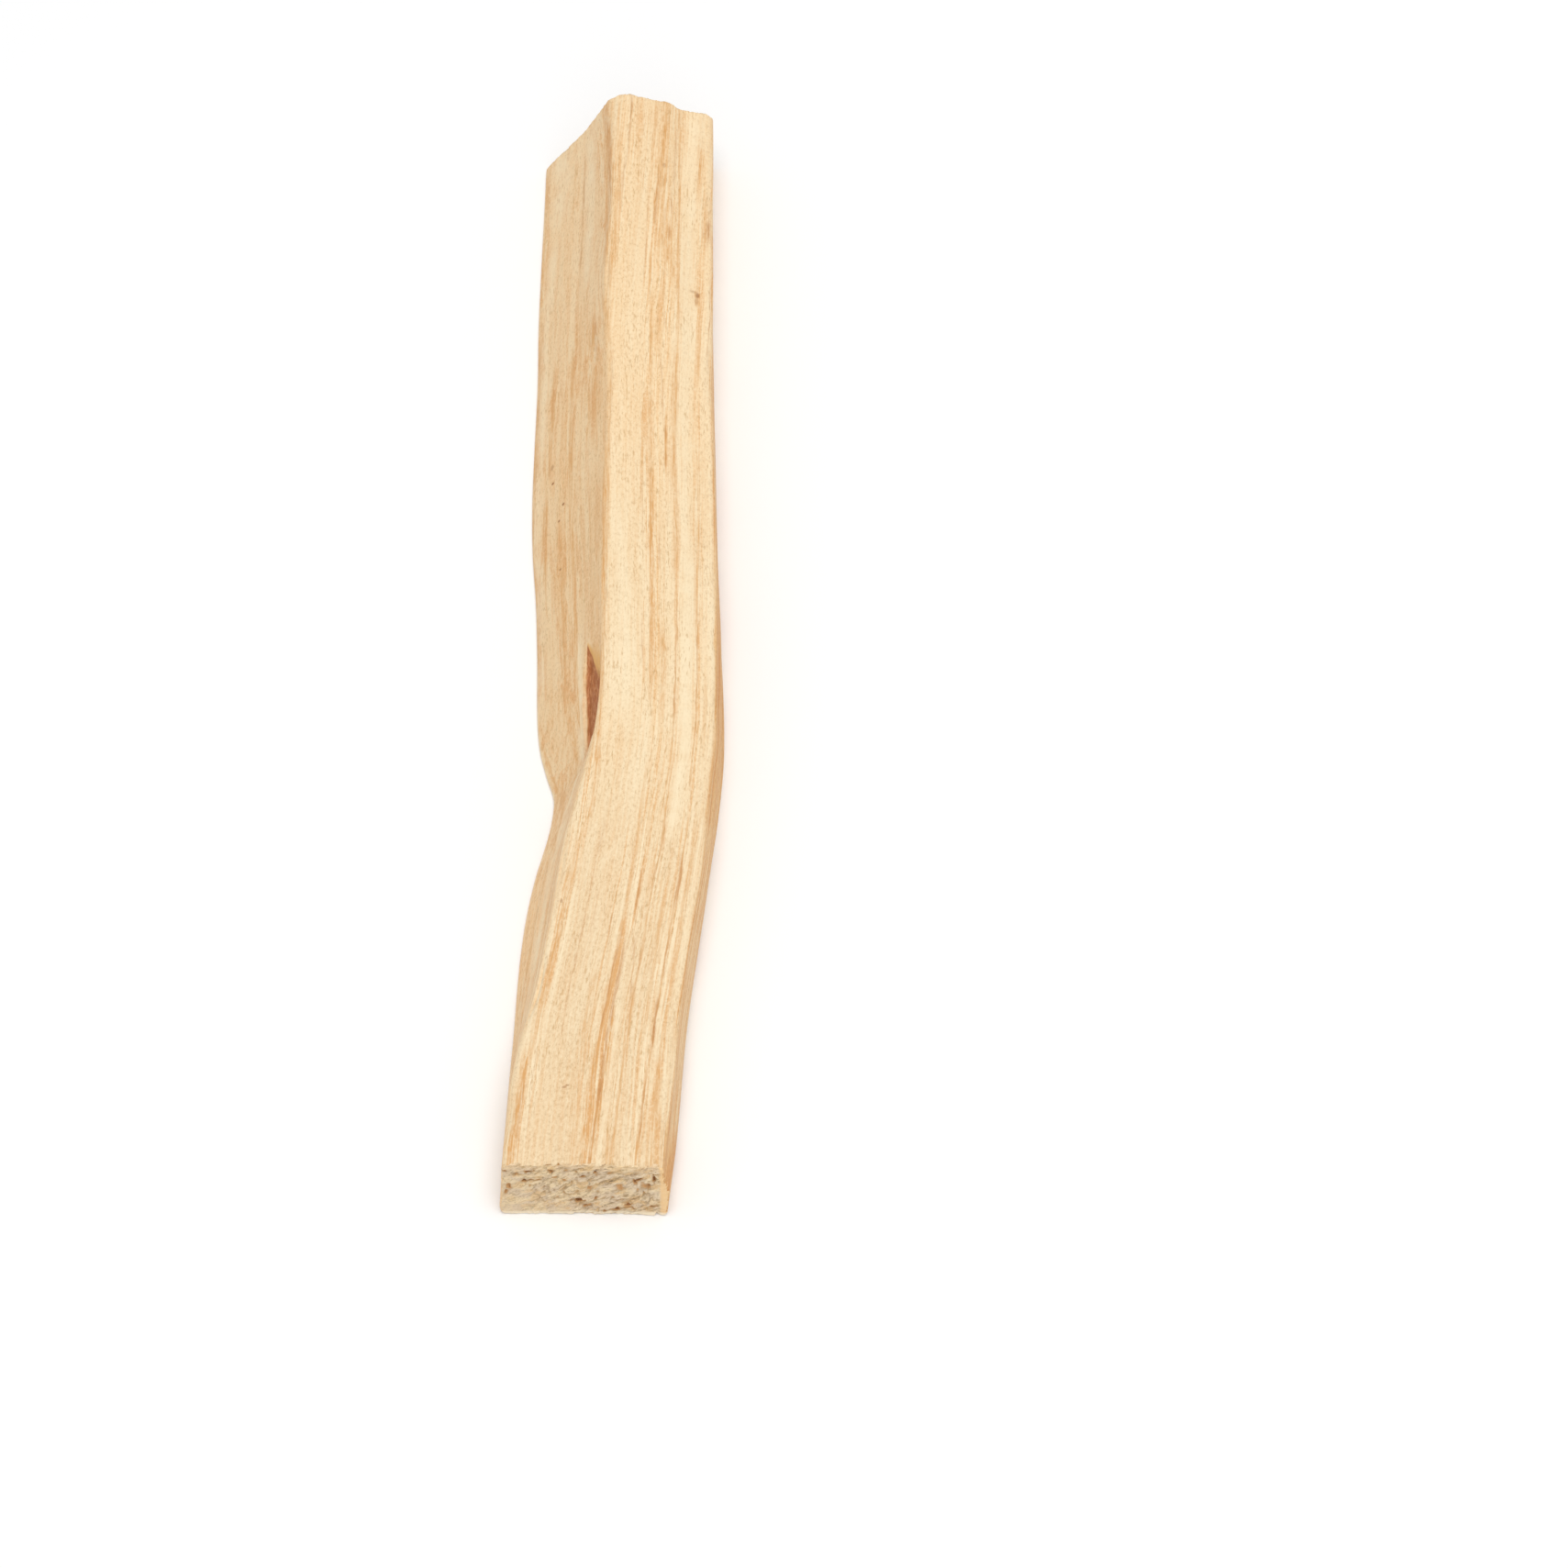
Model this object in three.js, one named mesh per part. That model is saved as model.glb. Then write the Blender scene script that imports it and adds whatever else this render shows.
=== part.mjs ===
import * as THREE from "three";

// Palo santo stick: one piece of pale heartwood, split along the grain and sawn off at both ends.
// It has grown with a bend. The far part is a low three-sided wedge with a high ridge, the near
// part is nearly a flat bar, and the stick lies on its sawn underside.
// Millimetres. +Y runs along the stick, +Z is up, the origin is under the middle of its box.

// Driving dimensions
const HALF_LENGTH = 49.5;
const STATIONS = 88;

// The sawn ends are nearly square to the stick: y at the origin, and its change per mm of x and of z
const NEAR_END = { y: -49.7, perX: -0.015, perZ: 0.095 };
const FAR_END = { y: 49.4, perX: 0.04, perZ: 0.02 };

// The long edges, each as [y, x, z] at a few places along the stick, and how far each is worn round.
// The panel is the face that follows an edge, in this order: left low, left high, top, top right,
// right high, right low, underside. Steps are the panel's strips, crowded towards its end by the
// exponent where that is over 1.
const EDGES = [
  {
    name: "left foot",
    round: 0.7,
    bend: 2,
    panel: { steps: 4, crowd: 1 },
    line: [
      [-50, -8.2, 0],
      [-44, -8.02, 0],
      [-36, -7.8, 0],
      [-30, -7.6, 0],
      [-25, -7.2, 0],
      [-21, -6.56, 0],
      [-17.5, -5.7, 0],
      [-15.5, -5.36, 0],
      [-13.5, -5.32, 0],
      [-11.5, -5.92, 0],
      [-9, -6.54, 0],
      [-6, -6.82, 0],
      [0, -6.97, 0],
      [5, -7.2, 0],
      [10, -7.6, 0],
      [15, -7.76, 0],
      [20, -7.72, 0],
      [27, -7.64, 0],
      [34, -7.7, 0],
      [50, -7.45, 0],
    ],
  },
  {
    name: "left flute",
    round: 0.6,
    bend: 2,
    panel: { steps: 7, crowd: 1 },
    line: [
      [-50, -8.05, 3.4],
      [-42, -7.4, 3.9],
      [-36, -6.6, 4.2],
      [-32, -6.0, 4.4],
      [-28, -5.45, 4.5],
      [-25, -5.1, 4.5],
      [-22, -4.62, 4.4],
      [-18.7, -4.1, 4.2],
      [-16.5, -3.65, 4.3],
      [-14.5, -3.2, 4.3],
      [-12.8, -2.72, 4.4],
      [-9.5, -2.95, 4.5],
      [-5, -3.14, 4.7],
      [0, -3.22, 4.85],
      [5, -3.45, 4.85],
      [9, -3.8, 4.75],
      [14, -4.1, 4.65],
      [20, -4.08, 4.65],
      [27, -3.9, 4.7],
      [34, -3.75, 4.8],
      [50, -3.7, 5.1],
    ],
  },
  {
    name: "ridge",
    round: 0.45,
    bend: 3,
    panel: { steps: 7, crowd: 1 },
    line: [
      [-50, -7.85, 6.35],
      [-45, -7.55, 6.43],
      [-40, -6.85, 6.55],
      [-35, -5.65, 6.76],
      [-30, -4.88, 6.97],
      [-26, -4.25, 7.15],
      [-22, -3.68, 7.35],
      [-18, -2.82, 7.55],
      [-14, -1.98, 7.78],
      [-10, -1.49, 8.0],
      [-5, -1.36, 8.15],
      [4, -1.3, 8.42],
      [12, -1.3, 8.68],
      [17, -1.2, 8.83],
      [22, -1.2, 9.0],
      [26, -1.48, 9.11],
      [30, -1.6, 9.24],
      [34, -1.55, 9.35],
      [38, -1.3, 9.46],
      [50, -1.4, 9.65],
    ],
  },
  {
    name: "top crease",
    round: 1.2,
    bend: 2,
    panel: { steps: 4, crowd: 1 },
    line: [
      [-50, 0.9, 6.4],
      [-30, 2.6, 6.7],
      [-12, 4.6, 7.1],
      [6, 4.2, 7.5],
      [28, 3.9, 7.8],
      [50, 3.5, 7.95],
    ],
  },
  {
    name: "right shoulder",
    round: 0.5,
    bend: 3,
    panel: { steps: 3, crowd: 1 },
    line: [
      [-50, 3.9, 6.2],
      [-46, 4.25, 6.23],
      [-41, 4.75, 6.3],
      [-36, 5.12, 6.38],
      [-30, 5.8, 6.5],
      [-24, 6.57, 6.54],
      [-20, 6.87, 6.55],
      [-16, 7.2, 6.6],
      [-12, 7.6, 6.6],
      [-8, 7.55, 6.6],
      [0, 7.4, 6.6],
      [6, 7.3, 6.6],
      [15, 7.16, 6.6],
      [24, 6.87, 6.57],
      [35, 6.86, 6.53],
      [50, 6.68, 6.4],
    ],
  },
  {
    name: "right belly",
    round: 1.6,
    bend: 2,
    panel: { steps: 3, crowd: 1 },
    line: [
      [-50, 4.25, 3.0],
      [-34, 5.62, 3.2],
      [-20, 7.25, 3.3],
      [-9, 7.95, 3.3],
      [5, 7.6, 3.3],
      [15, 7.33, 3.25],
      [24, 6.95, 3.2],
      [35, 6.87, 3.2],
      [50, 6.65, 3.2],
    ],
  },
  {
    name: "right foot",
    round: 0.6,
    bend: 2,
    panel: { steps: 5, crowd: 1 },
    line: [
      [-50, 4.1, 0],
      [-44, 4.75, 0],
      [-34, 5.45, 0],
      [-22, 6.8, 0],
      [-15, 7.7, 0],
      [-9, 8.1, 0],
      [2, 7.65, 0],
      [14, 7.15, 0],
      [24, 6.85, 0],
      [35, 6.78, 0],
      [50, 6.55, 0],
    ],
  },
];

// The grain follows the bend: x of one growth line on the top, and how far the lines spread, by y
const GRAIN_LINE = [
  [-50, -2.0],
  [-38, -1.2],
  [-29, 0.2],
  [-19, 1.6],
  [-9, 2.4],
  [8, 2.3],
  [18, 2.25],
  [32, 2.6],
  [50, 3.2],
];
const GRAIN_SPREAD = [
  [-50, 1.13],
  [-30, 1.06],
  [-12, 1.0],
  [50, 0.97],
];
// Growth layers stand at this slope in the section, so they show closest together on the top
const LAYER_TILT = THREE.MathUtils.degToRad(-40);

// Long shallow flutes left where the wood split along its layers: depth, width across the layers,
// drift along the stick, start
const FLUTES = [
  { depth: 0.06, width: 3.6, drift: 0.011, start: 0.4 },
  { depth: 0.03, width: 2.3, drift: -0.019, start: 2.1 },
  { depth: 0.06, width: 60, drift: 0.043, start: 1.0 },
];
const FLUTE_CLEAR_OF_FLOOR = 1.2;

// The bark pocket in the left high face, from its lowest third, at low, up to the ridge, where it
// ends at high. Its far end slopes in, the more so the higher up, and its near end is blunt and
// leaves the ridge, down to tip.
const POCKET = { far: -3.1, near: -13.3, low: 0.36, high: 0.92, tip: 0.72, depth: 0.65 };
const POCKET_WALL = { low: 0.07, high: 0.07, blunt: 0.7, slope: 12 };

// A fibre ledge along the top crease near the far end: the top stands up left of it and is hollow
// right of it, and levels out by the reach
const LEDGE = { height: 0.45, from: 20, width: 0.8, reach: 2.4 };

// Chips knocked out of the long edges: the edge, where, how long and how deep
const CHIPS = [
  { edge: "ridge", y: 49.5, length: 5.0, depth: 0.3 },
  { edge: "ridge", y: -45.5, length: 2.6, depth: 0.28 },
  { edge: "right shoulder", y: 22, length: 4.0, depth: 0.16 },
  { edge: "right shoulder", y: -37, length: 3.0, depth: 0.16 },
  { edge: "right foot", y: 38, length: 5.0, depth: 0.35 },
  { edge: "left foot", y: -33, length: 5.0, depth: 0.14 },
  { edge: "left foot", y: 26, length: 6.0, depth: 0.16 },
];
const CHIP_REACH = 0.9;

// The sawn ends are rough: rings of facets, and torn hollows that run up to the right
const END_RINGS = [0.93, 0.76, 0.54, 0.3];
const END_BEVEL = 0.15;
const TEAR = { depth: 0.24, width: 3.1, length: 5.6, rise: THREE.MathUtils.degToRad(30) };

// Smooth curve through [y, value] points, as a function of y
function through(points) {
  const slopes = points.map((_, i) => {
    const before = points[Math.max(0, i - 1)];
    const after = points[Math.min(points.length - 1, i + 1)];
    return (after[1] - before[1]) / (after[0] - before[0]);
  });
  return (y) => {
    let i = 0;
    while (i < points.length - 2 && y > points[i + 1][0]) i += 1;
    const span = points[i + 1][0] - points[i][0];
    const t = THREE.MathUtils.clamp((y - points[i][0]) / span, 0, 1);
    const t2 = t * t;
    const t3 = t2 * t;
    return (
      (2 * t3 - 3 * t2 + 1) * points[i][1] +
      (t3 - 2 * t2 + t) * span * slopes[i] +
      (3 * t2 - 2 * t3) * points[i + 1][1] +
      (t3 - t2) * span * slopes[i + 1]
    );
  };
}

const edges = EDGES.map((edge) => ({
  ...edge,
  x: through(edge.line.map(([y, x]) => [y, x])),
  z: through(edge.line.map(([y, , z]) => [y, z])),
}));
const grainLine = through(GRAIN_LINE);
const grainSpread = through(GRAIN_SPREAD);
const edgeNamed = Object.fromEntries(edges.map((edge) => [edge.name, edge]));

const smooth = THREE.MathUtils.smoothstep;

// A round hump that is 1 at 0 and dies out at 1
function hump(t) {
  return Math.abs(t) < 1 ? (1 - t * t) ** 2 : 0;
}

// Points of the section at y, each edge a rounded corner and each panel straight between them
function section(y) {
  const corners = edges.map((edge) => new THREE.Vector2(edge.x(y), edge.z(y)));
  const count = corners.length;
  const fillets = corners.map((corner, i) => {
    const before = corners[(i + count - 1) % count].clone().sub(corner);
    const after = corners[(i + 1) % count].clone().sub(corner);
    const reach = Math.min(edges[i].round, 0.4 * before.length(), 0.4 * after.length());
    return {
      start: corner.clone().add(before.setLength(reach)),
      end: corner.clone().add(after.setLength(reach)),
    };
  });
  const points = [];
  corners.forEach((corner, i) => {
    const { start, end } = fillets[i];
    const arc = new THREE.QuadraticBezierCurve(start, corner, end);
    points.push(...arc.getPoints(edges[i].bend));
    const next = fillets[(i + 1) % count].start;
    const { steps, crowd } = edges[i].panel;
    for (let k = 1; k < steps; k += 1) {
      points.push(end.clone().lerp(next, 1 - (1 - k / steps) ** crowd));
    }
  });
  return points;
}

// 1 on the floor of the bark pocket, 0 outside it
function pocketAt(point, y) {
  const flute = edgeNamed["left flute"];
  const ridge = edgeNamed.ridge;
  if (point.x > ridge.x(y)) return 0;
  const up = (point.y - flute.z(y)) / (ridge.z(y) - flute.z(y));
  const wall = POCKET_WALL;
  const high = THREE.MathUtils.lerp(POCKET.tip, POCKET.high, smooth(y - POCKET.near, 0, 2.8));
  const above = smooth(up, POCKET.low - wall.low, POCKET.low + wall.low);
  const below = 1 - smooth(up, high - wall.high, high + wall.high);
  const slopesIn = smooth(POCKET.far - y, 0, 0.5 + wall.slope * Math.max(0, up - 0.42));
  return above * below * slopesIn * smooth(y - POCKET.near, 0, wall.blunt);
}

// How far the surface stands out of the plain section at a point
function relief(point, y) {
  const across = (point.x - grainLine(y)) / grainSpread(y);
  const layer = across * Math.cos(LAYER_TILT) + point.y * Math.sin(LAYER_TILT);
  let out = 0;
  for (const flute of FLUTES) {
    const turn = layer / flute.width + y * flute.drift;
    out += flute.depth * Math.sin(2 * Math.PI * turn + flute.start);
  }
  out -= POCKET.depth * pocketAt(point, y);
  const fromCrease = point.x - edgeNamed["top crease"].x(y);
  const onTop =
    smooth(point.x - edgeNamed.ridge.x(y), 0.2, 1.5) *
    (1 - smooth(fromCrease, LEDGE.width, LEDGE.reach));
  const rise = 0.5 - smooth(fromCrease, -LEDGE.width, LEDGE.width);
  out += LEDGE.height * rise * onTop * smooth(y, LEDGE.from, HALF_LENGTH);
  for (const chip of CHIPS) {
    const edge = edgeNamed[chip.edge];
    const away = Math.hypot(point.x - edge.x(y), point.y - edge.z(y)) / CHIP_REACH;
    out -= chip.depth * hump(away) * hump((y - chip.y) / chip.length);
  }
  return out;
}

// Outward direction in the section at point i of a closed outline
function outward(points, i) {
  const before = points[(i + points.length - 1) % points.length];
  const after = points[(i + 1) % points.length];
  return new THREE.Vector2(-(after.y - before.y), after.x - before.x).normalize();
}

// The section at y with its relief. The underside stays flat.
function carved(y) {
  const plain = section(y);
  return plain.map((point, i) => {
    const clear = smooth(point.y, 0, FLUTE_CLEAR_OF_FLOOR);
    const moved = outward(plain, i).multiplyScalar(relief(point, y) * clear);
    return point.clone().add(moved);
  });
}

function endY(end, point) {
  return end.y + end.perX * point.x + end.perZ * point.y;
}

// Torn hollows of an end face, 0 or less
function tear(point, seed) {
  const run = point.x * Math.cos(TEAR.rise) + point.y * Math.sin(TEAR.rise);
  const over = -point.x * Math.sin(TEAR.rise) + point.y * Math.cos(TEAR.rise);
  const waves =
    Math.sin((2 * Math.PI * over) / TEAR.width + seed + 0.8 * Math.sin(run + seed)) +
    Math.sin((2 * Math.PI * run) / TEAR.length + 2 * seed + over);
  return 0.25 * TEAR.depth * (waves - 2);
}

function middle(points) {
  const sum = points.reduce((total, point) => total.add(point), new THREE.Vector2());
  return sum.divideScalar(points.length);
}

// Rings of points from the near end's middle, along the stick, to the far end's middle
function stickRings() {
  const rings = [];
  const place = (points, fraction, push) =>
    points.map((point) => {
      const near = endY(NEAR_END, point);
      const far = endY(FAR_END, point);
      return new THREE.Vector3(point.x, near + (far - near) * fraction + push(point), point.y);
    });
  const shrink = (points, scale) => {
    const centre = middle(points);
    return points.map((point) => centre.clone().lerp(point, scale));
  };
  const nearOutline = carved(-HALF_LENGTH);
  const farOutline = carved(HALF_LENGTH);
  for (const scale of [...END_RINGS].reverse()) {
    rings.push(place(shrink(nearOutline, scale), 0, (point) => -tear(point, 0.7)));
  }
  for (let k = 0; k <= STATIONS; k += 1) {
    const fraction = k / STATIONS;
    const outline = carved(-HALF_LENGTH + 2 * HALF_LENGTH * fraction);
    const sawn = k === 0 || k === STATIONS;
    const worn = sawn ? outline.map((point, i) => wornCorner(outline, point, i)) : outline;
    rings.push(place(worn, fraction, () => 0));
  }
  for (const scale of END_RINGS) {
    rings.push(place(shrink(farOutline, scale), 1, (point) => tear(point, 3.1)));
  }
  return rings;
}

// The rim of a sawn end, drawn in a little but never off the floor plane
function wornCorner(outline, point, i) {
  const moved = point.clone().sub(outward(outline, i).multiplyScalar(END_BEVEL));
  return moved.setY(Math.max(moved.y, 0));
}

// Closed skin over the rings, with a fan to the middle point at each end
function stickGeometry() {
  const rings = stickRings();
  const size = rings[0].length;
  const vertices = rings.flat();
  const faces = [];
  for (let ring = 0; ring < rings.length - 1; ring += 1) {
    for (let i = 0; i < size; i += 1) {
      const next = (i + 1) % size;
      const a = ring * size + i;
      const b = ring * size + next;
      faces.push(a, b, a + size);
      faces.push(b, b + size, a + size);
    }
  }
  const last = (rings.length - 1) * size;
  const nearHub = vertices.length;
  const farHub = nearHub + 1;
  const hub = (ring) => {
    const sum = ring.reduce((total, point) => total.add(point), new THREE.Vector3());
    return sum.divideScalar(size);
  };
  vertices.push(hub(rings[0]), hub(rings[rings.length - 1]));
  for (let i = 0; i < size; i += 1) {
    const next = (i + 1) % size;
    faces.push(nearHub, next, i);
    faces.push(farHub, last + i, last + next);
  }
  const geometry = new THREE.BufferGeometry().setFromPoints(vertices);
  geometry.setIndex(faces);
  geometry.computeVertexNormals();
  return geometry;
}

const wood = new THREE.MeshStandardMaterial({ color: 0xf2d3a4, roughness: 0.72, metalness: 0 });

const stick = new THREE.Mesh(stickGeometry(), wood);
stick.name = "palo_santo_stick";

const part = new THREE.Group();
part.add(stick);

export default part;
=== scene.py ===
import math
from itertools import zip_longest

import bpy
import numpy as np
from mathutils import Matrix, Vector


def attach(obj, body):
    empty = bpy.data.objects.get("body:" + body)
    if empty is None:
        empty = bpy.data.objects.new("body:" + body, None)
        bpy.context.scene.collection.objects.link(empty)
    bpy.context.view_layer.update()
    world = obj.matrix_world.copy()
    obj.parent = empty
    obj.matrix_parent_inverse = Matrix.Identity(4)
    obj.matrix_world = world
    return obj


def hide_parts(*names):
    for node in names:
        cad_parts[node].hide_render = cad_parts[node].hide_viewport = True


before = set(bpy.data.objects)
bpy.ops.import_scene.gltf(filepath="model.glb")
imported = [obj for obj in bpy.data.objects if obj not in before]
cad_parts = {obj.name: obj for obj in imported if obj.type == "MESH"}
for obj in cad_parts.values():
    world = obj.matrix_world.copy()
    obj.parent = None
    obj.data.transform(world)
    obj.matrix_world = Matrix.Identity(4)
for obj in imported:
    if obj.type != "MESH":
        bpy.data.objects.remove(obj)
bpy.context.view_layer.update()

MM = 0.001

# The form, in millimetres, as in the part's source.

HALF_LENGTH = 49.5
# The sawn ends: their planes, which way is into the wood, the first of the seeds of their noises,
# and their rectangles of the UV map.
NEAR_END = {"y": -49.7, "per_x": -0.015, "per_z": 0.095, "inward": 1, "seed": 100,
            "uv": ((0.01, 0.005), (0.49, 0.155))}
FAR_END = {"y": 49.4, "per_x": 0.04, "per_z": 0.02, "inward": -1, "seed": 200,
           "uv": ((0.51, 0.005), (0.99, 0.155))}
SKIN_UV = ((0.005, 0.17), (0.995, 0.995))

# The long edges, each as (y, x, z) along the stick, how far each is worn round, the points of its
# round, and the strips of the panel that follows it. A round takes up at most a share of a panel.
ROUND_SHARE = 0.4
EDGES = {
    "left foot": {
        "round": 0.7, "bend": 6, "steps": 26,
        "line": [(-50, -8.2, 0), (-44, -8.02, 0), (-36, -7.8, 0), (-30, -7.6, 0), (-25, -7.2, 0),
                 (-21, -6.56, 0), (-17.5, -5.7, 0), (-15.5, -5.36, 0), (-13.5, -5.32, 0),
                 (-11.5, -5.92, 0), (-9, -6.54, 0), (-6, -6.82, 0), (0, -6.97, 0), (5, -7.2, 0),
                 (10, -7.6, 0), (15, -7.76, 0), (20, -7.72, 0), (27, -7.64, 0), (34, -7.7, 0),
                 (50, -7.45, 0)],
    },
    "left flute": {
        "round": 0.6, "bend": 6, "steps": 28,
        "line": [(-50, -8.05, 3.4), (-42, -7.4, 3.9), (-36, -6.6, 4.2), (-32, -6.0, 4.4),
                 (-28, -5.45, 4.5), (-25, -5.1, 4.5), (-22, -4.62, 4.4), (-18.7, -4.1, 4.2),
                 (-16.5, -3.65, 4.3), (-14.5, -3.2, 4.3), (-12.8, -2.72, 4.4), (-9.5, -2.95, 4.5),
                 (-5, -3.14, 4.7), (0, -3.22, 4.85), (5, -3.45, 4.85), (9, -3.8, 4.75),
                 (14, -4.1, 4.65), (20, -4.08, 4.65), (27, -3.9, 4.7), (34, -3.75, 4.8),
                 (50, -3.7, 5.1)],
    },
    "ridge": {
        "round": 0.45, "bend": 10, "steps": 48,
        "line": [(-50, -7.85, 6.35), (-45, -7.55, 6.43), (-40, -6.85, 6.55), (-35, -5.65, 6.76),
                 (-30, -4.88, 6.97), (-26, -4.25, 7.15), (-22, -3.68, 7.35), (-18, -2.82, 7.55),
                 (-14, -1.98, 7.78), (-10, -1.49, 8.0), (-5, -1.36, 8.15), (4, -1.3, 8.42),
                 (12, -1.3, 8.68), (17, -1.2, 8.83), (22, -1.2, 9.0), (26, -1.48, 9.11),
                 (30, -1.6, 9.24), (34, -1.55, 9.35), (38, -1.3, 9.46), (50, -1.4, 9.65)],
    },
    "top crease": {
        "round": 1.2, "bend": 6, "steps": 24,
        "line": [(-50, 0.9, 6.4), (-30, 2.6, 6.7), (-12, 4.6, 7.1), (6, 4.2, 7.5), (28, 3.9, 7.8),
                 (50, 3.5, 7.95)],
    },
    "right shoulder": {
        "round": 0.5, "bend": 8, "steps": 28,
        "line": [(-50, 3.9, 6.2), (-46, 4.25, 6.23), (-41, 4.75, 6.3), (-36, 5.12, 6.38),
                 (-30, 5.8, 6.5), (-24, 6.57, 6.54), (-20, 6.87, 6.55), (-16, 7.2, 6.6),
                 (-12, 7.6, 6.6), (-8, 7.55, 6.6), (0, 7.4, 6.6), (6, 7.3, 6.6), (15, 7.16, 6.6),
                 (24, 6.87, 6.57), (35, 6.86, 6.53), (50, 6.68, 6.4)],
    },
    "right belly": {
        "round": 1.6, "bend": 4, "steps": 29,
        "line": [(-50, 4.25, 3.0), (-34, 5.62, 3.2), (-20, 7.25, 3.3), (-9, 7.95, 3.3),
                 (5, 7.6, 3.3), (15, 7.33, 3.25), (24, 6.95, 3.2), (35, 6.87, 3.2),
                 (50, 6.65, 3.2)],
    },
    "right foot": {
        "round": 0.6, "bend": 6, "steps": 81,
        "line": [(-50, 4.1, 0), (-44, 4.75, 0), (-34, 5.45, 0), (-22, 6.8, 0), (-15, 7.7, 0),
                 (-9, 8.1, 0), (2, 7.65, 0), (14, 7.15, 0), (24, 6.85, 0), (35, 6.78, 0),
                 (50, 6.55, 0)],
    },
}

# The grain follows the bend: x of one growth line on the top, and how far the lines spread, by y.
GRAIN_LINE = [(-50, -2.0), (-38, -1.2), (-29, 0.2), (-19, 1.6), (-9, 2.4), (8, 2.3), (18, 2.25),
              (32, 2.6), (50, 3.2)]
GRAIN_SPREAD = [(-50, 1.13), (-30, 1.06), (-12, 1.0), (50, 0.97)]
LAYER_TILT = math.radians(-40)
# Below the top the layers lie this far to the left for each millimetre down.
LAYER_LEAN = 0.55

# Depth, width across the layers, drift along the stick, start.
FLUTES = [(0.06, 3.6, 0.011, 0.4), (0.03, 2.3, -0.019, 2.1), (0.06, 60.0, 0.043, 1.0)]
FLUTE_CLEAR_OF_FLOOR = 1.2

# The bark pocket in the left high face, with heights as shares of the face: 0 is at the flute and 1
# at the ridge. Its upper edge is at high, and falls to tip over the run at the near end. Its lower
# edge is given as (y, height on the face), and its slanted near end as (height on the face, y).
POCKET = {"far": -2.6, "near": -15.0, "high": 0.88, "tip": 0.78, "tip_run": 2.8, "depth": 0.5}
POCKET_LOW = [(-15.4, 0.20), (-13, 0.15), (-10, 0.14), (-6, 0.18), (-4, 0.26), (-2.6, 0.36)]
POCKET_NEAR = [(0.15, -15.3), (0.40, -14.8), (0.60, -14.1), (0.80, -13.1)]
# Half the width of its lower and upper walls in face heights, the width of the one at the near end
# in mm, and how long the slope of its floor at the far end is, which grows above slope_from.
POCKET_WALL = {"low": 0.03, "high": 0.05, "blunt": 0.6, "far": 3.0, "slope": 8, "slope_from": 0.42}
# Its ragged lower edge and near end: depth, and waves in each mm along and each face height.
POCKET_EDGE = {"depth": 0.015, "along": 0.6, "up": 2}
POCKET_END = {"depth": 0.35, "along": 0.7, "up": 7}
POCKET_FLOOR = {"rough": 0.2, "across": 3, "along": 1.4, "octaves": 3}
# How far from the far end the bark's dark colour starts, by height on the face, the limits of the
# tone that grows from there, and how wide the band at the pocket's edge is that its colour knows.
POCKET_DARK = [(0.30, 0.2), (0.38, 1.4), (0.60, 3.6), (0.90, 5.1)]
POCKET_TONE = (-0.5, 1.5)
POCKET_MARGIN = 0.4
LEDGE = {"height": 0.45, "start": 20, "width": 0.8, "reach": 2.4, "off_ridge": (0.2, 1.5)}

# Chips knocked out of the long edges: the edge, where, how long and how deep.
CHIPS = [("ridge", 49.5, 5.0, 0.3), ("ridge", -45.5, 2.6, 0.28), ("right shoulder", 22, 4.0, 0.16),
         ("right shoulder", -37, 3.0, 0.16), ("right foot", 38, 5.0, 0.35),
         ("left foot", -33, 5.0, 0.14), ("left foot", 26, 6.0, 0.16)]
CHIP_REACH = 0.9

# Fine form, which only this script adds.

STATIONS = 280
END_CROWD = {"reach": 1.1, "gain": 3.2, "samples": 4001}
SHARP_ANGLE = math.radians(48)
NICKS = {"count": 90, "seed": 11, "reach": 0.42, "length": (0.5, 2.6), "depth": (0.03, 0.13)}
NICK_EDGES = ("ridge", "right shoulder", "left foot", "right foot")
FIBRE = {"depth": 0.022, "across": 2.6, "along": 0.05, "octaves": 2}
HAIR = {"depth": 0.010, "across": 6.0, "along": 0.11}
SWELL = {"depth": 0.07, "across": 0.22, "along": 0.06}
RIPPLE = {"depth": 0.014, "y": -17.0, "half_length": 11.0, "wave": 1.35}
RIPPLE_LEAN = {"share": 0.6, "across": 0.5, "along": 0.3}
UNDERSIDE = {"depth": 0.05, "across": 3, "along": 0.05, "reach": 0.3}

# The seeds of the noises. A colour's seed is the first of several, and the torn ends' are added to
# the seed of the end.
TORN_SEED = {"curl": 5, "strand": 20, "finer": 21, "grit": 40, "ragged": 50}
SEED = {"fibre": 3, "hair": 7, "swell": 9, "lean": 12, "pocket edge": 33, "pocket end": 34,
        "pocket floor": 60, "underside": 80, "orange": 300, "pale": 340, "left pale": 350,
        "tan": 360, "left tan": 370, "brown": 400}

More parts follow.
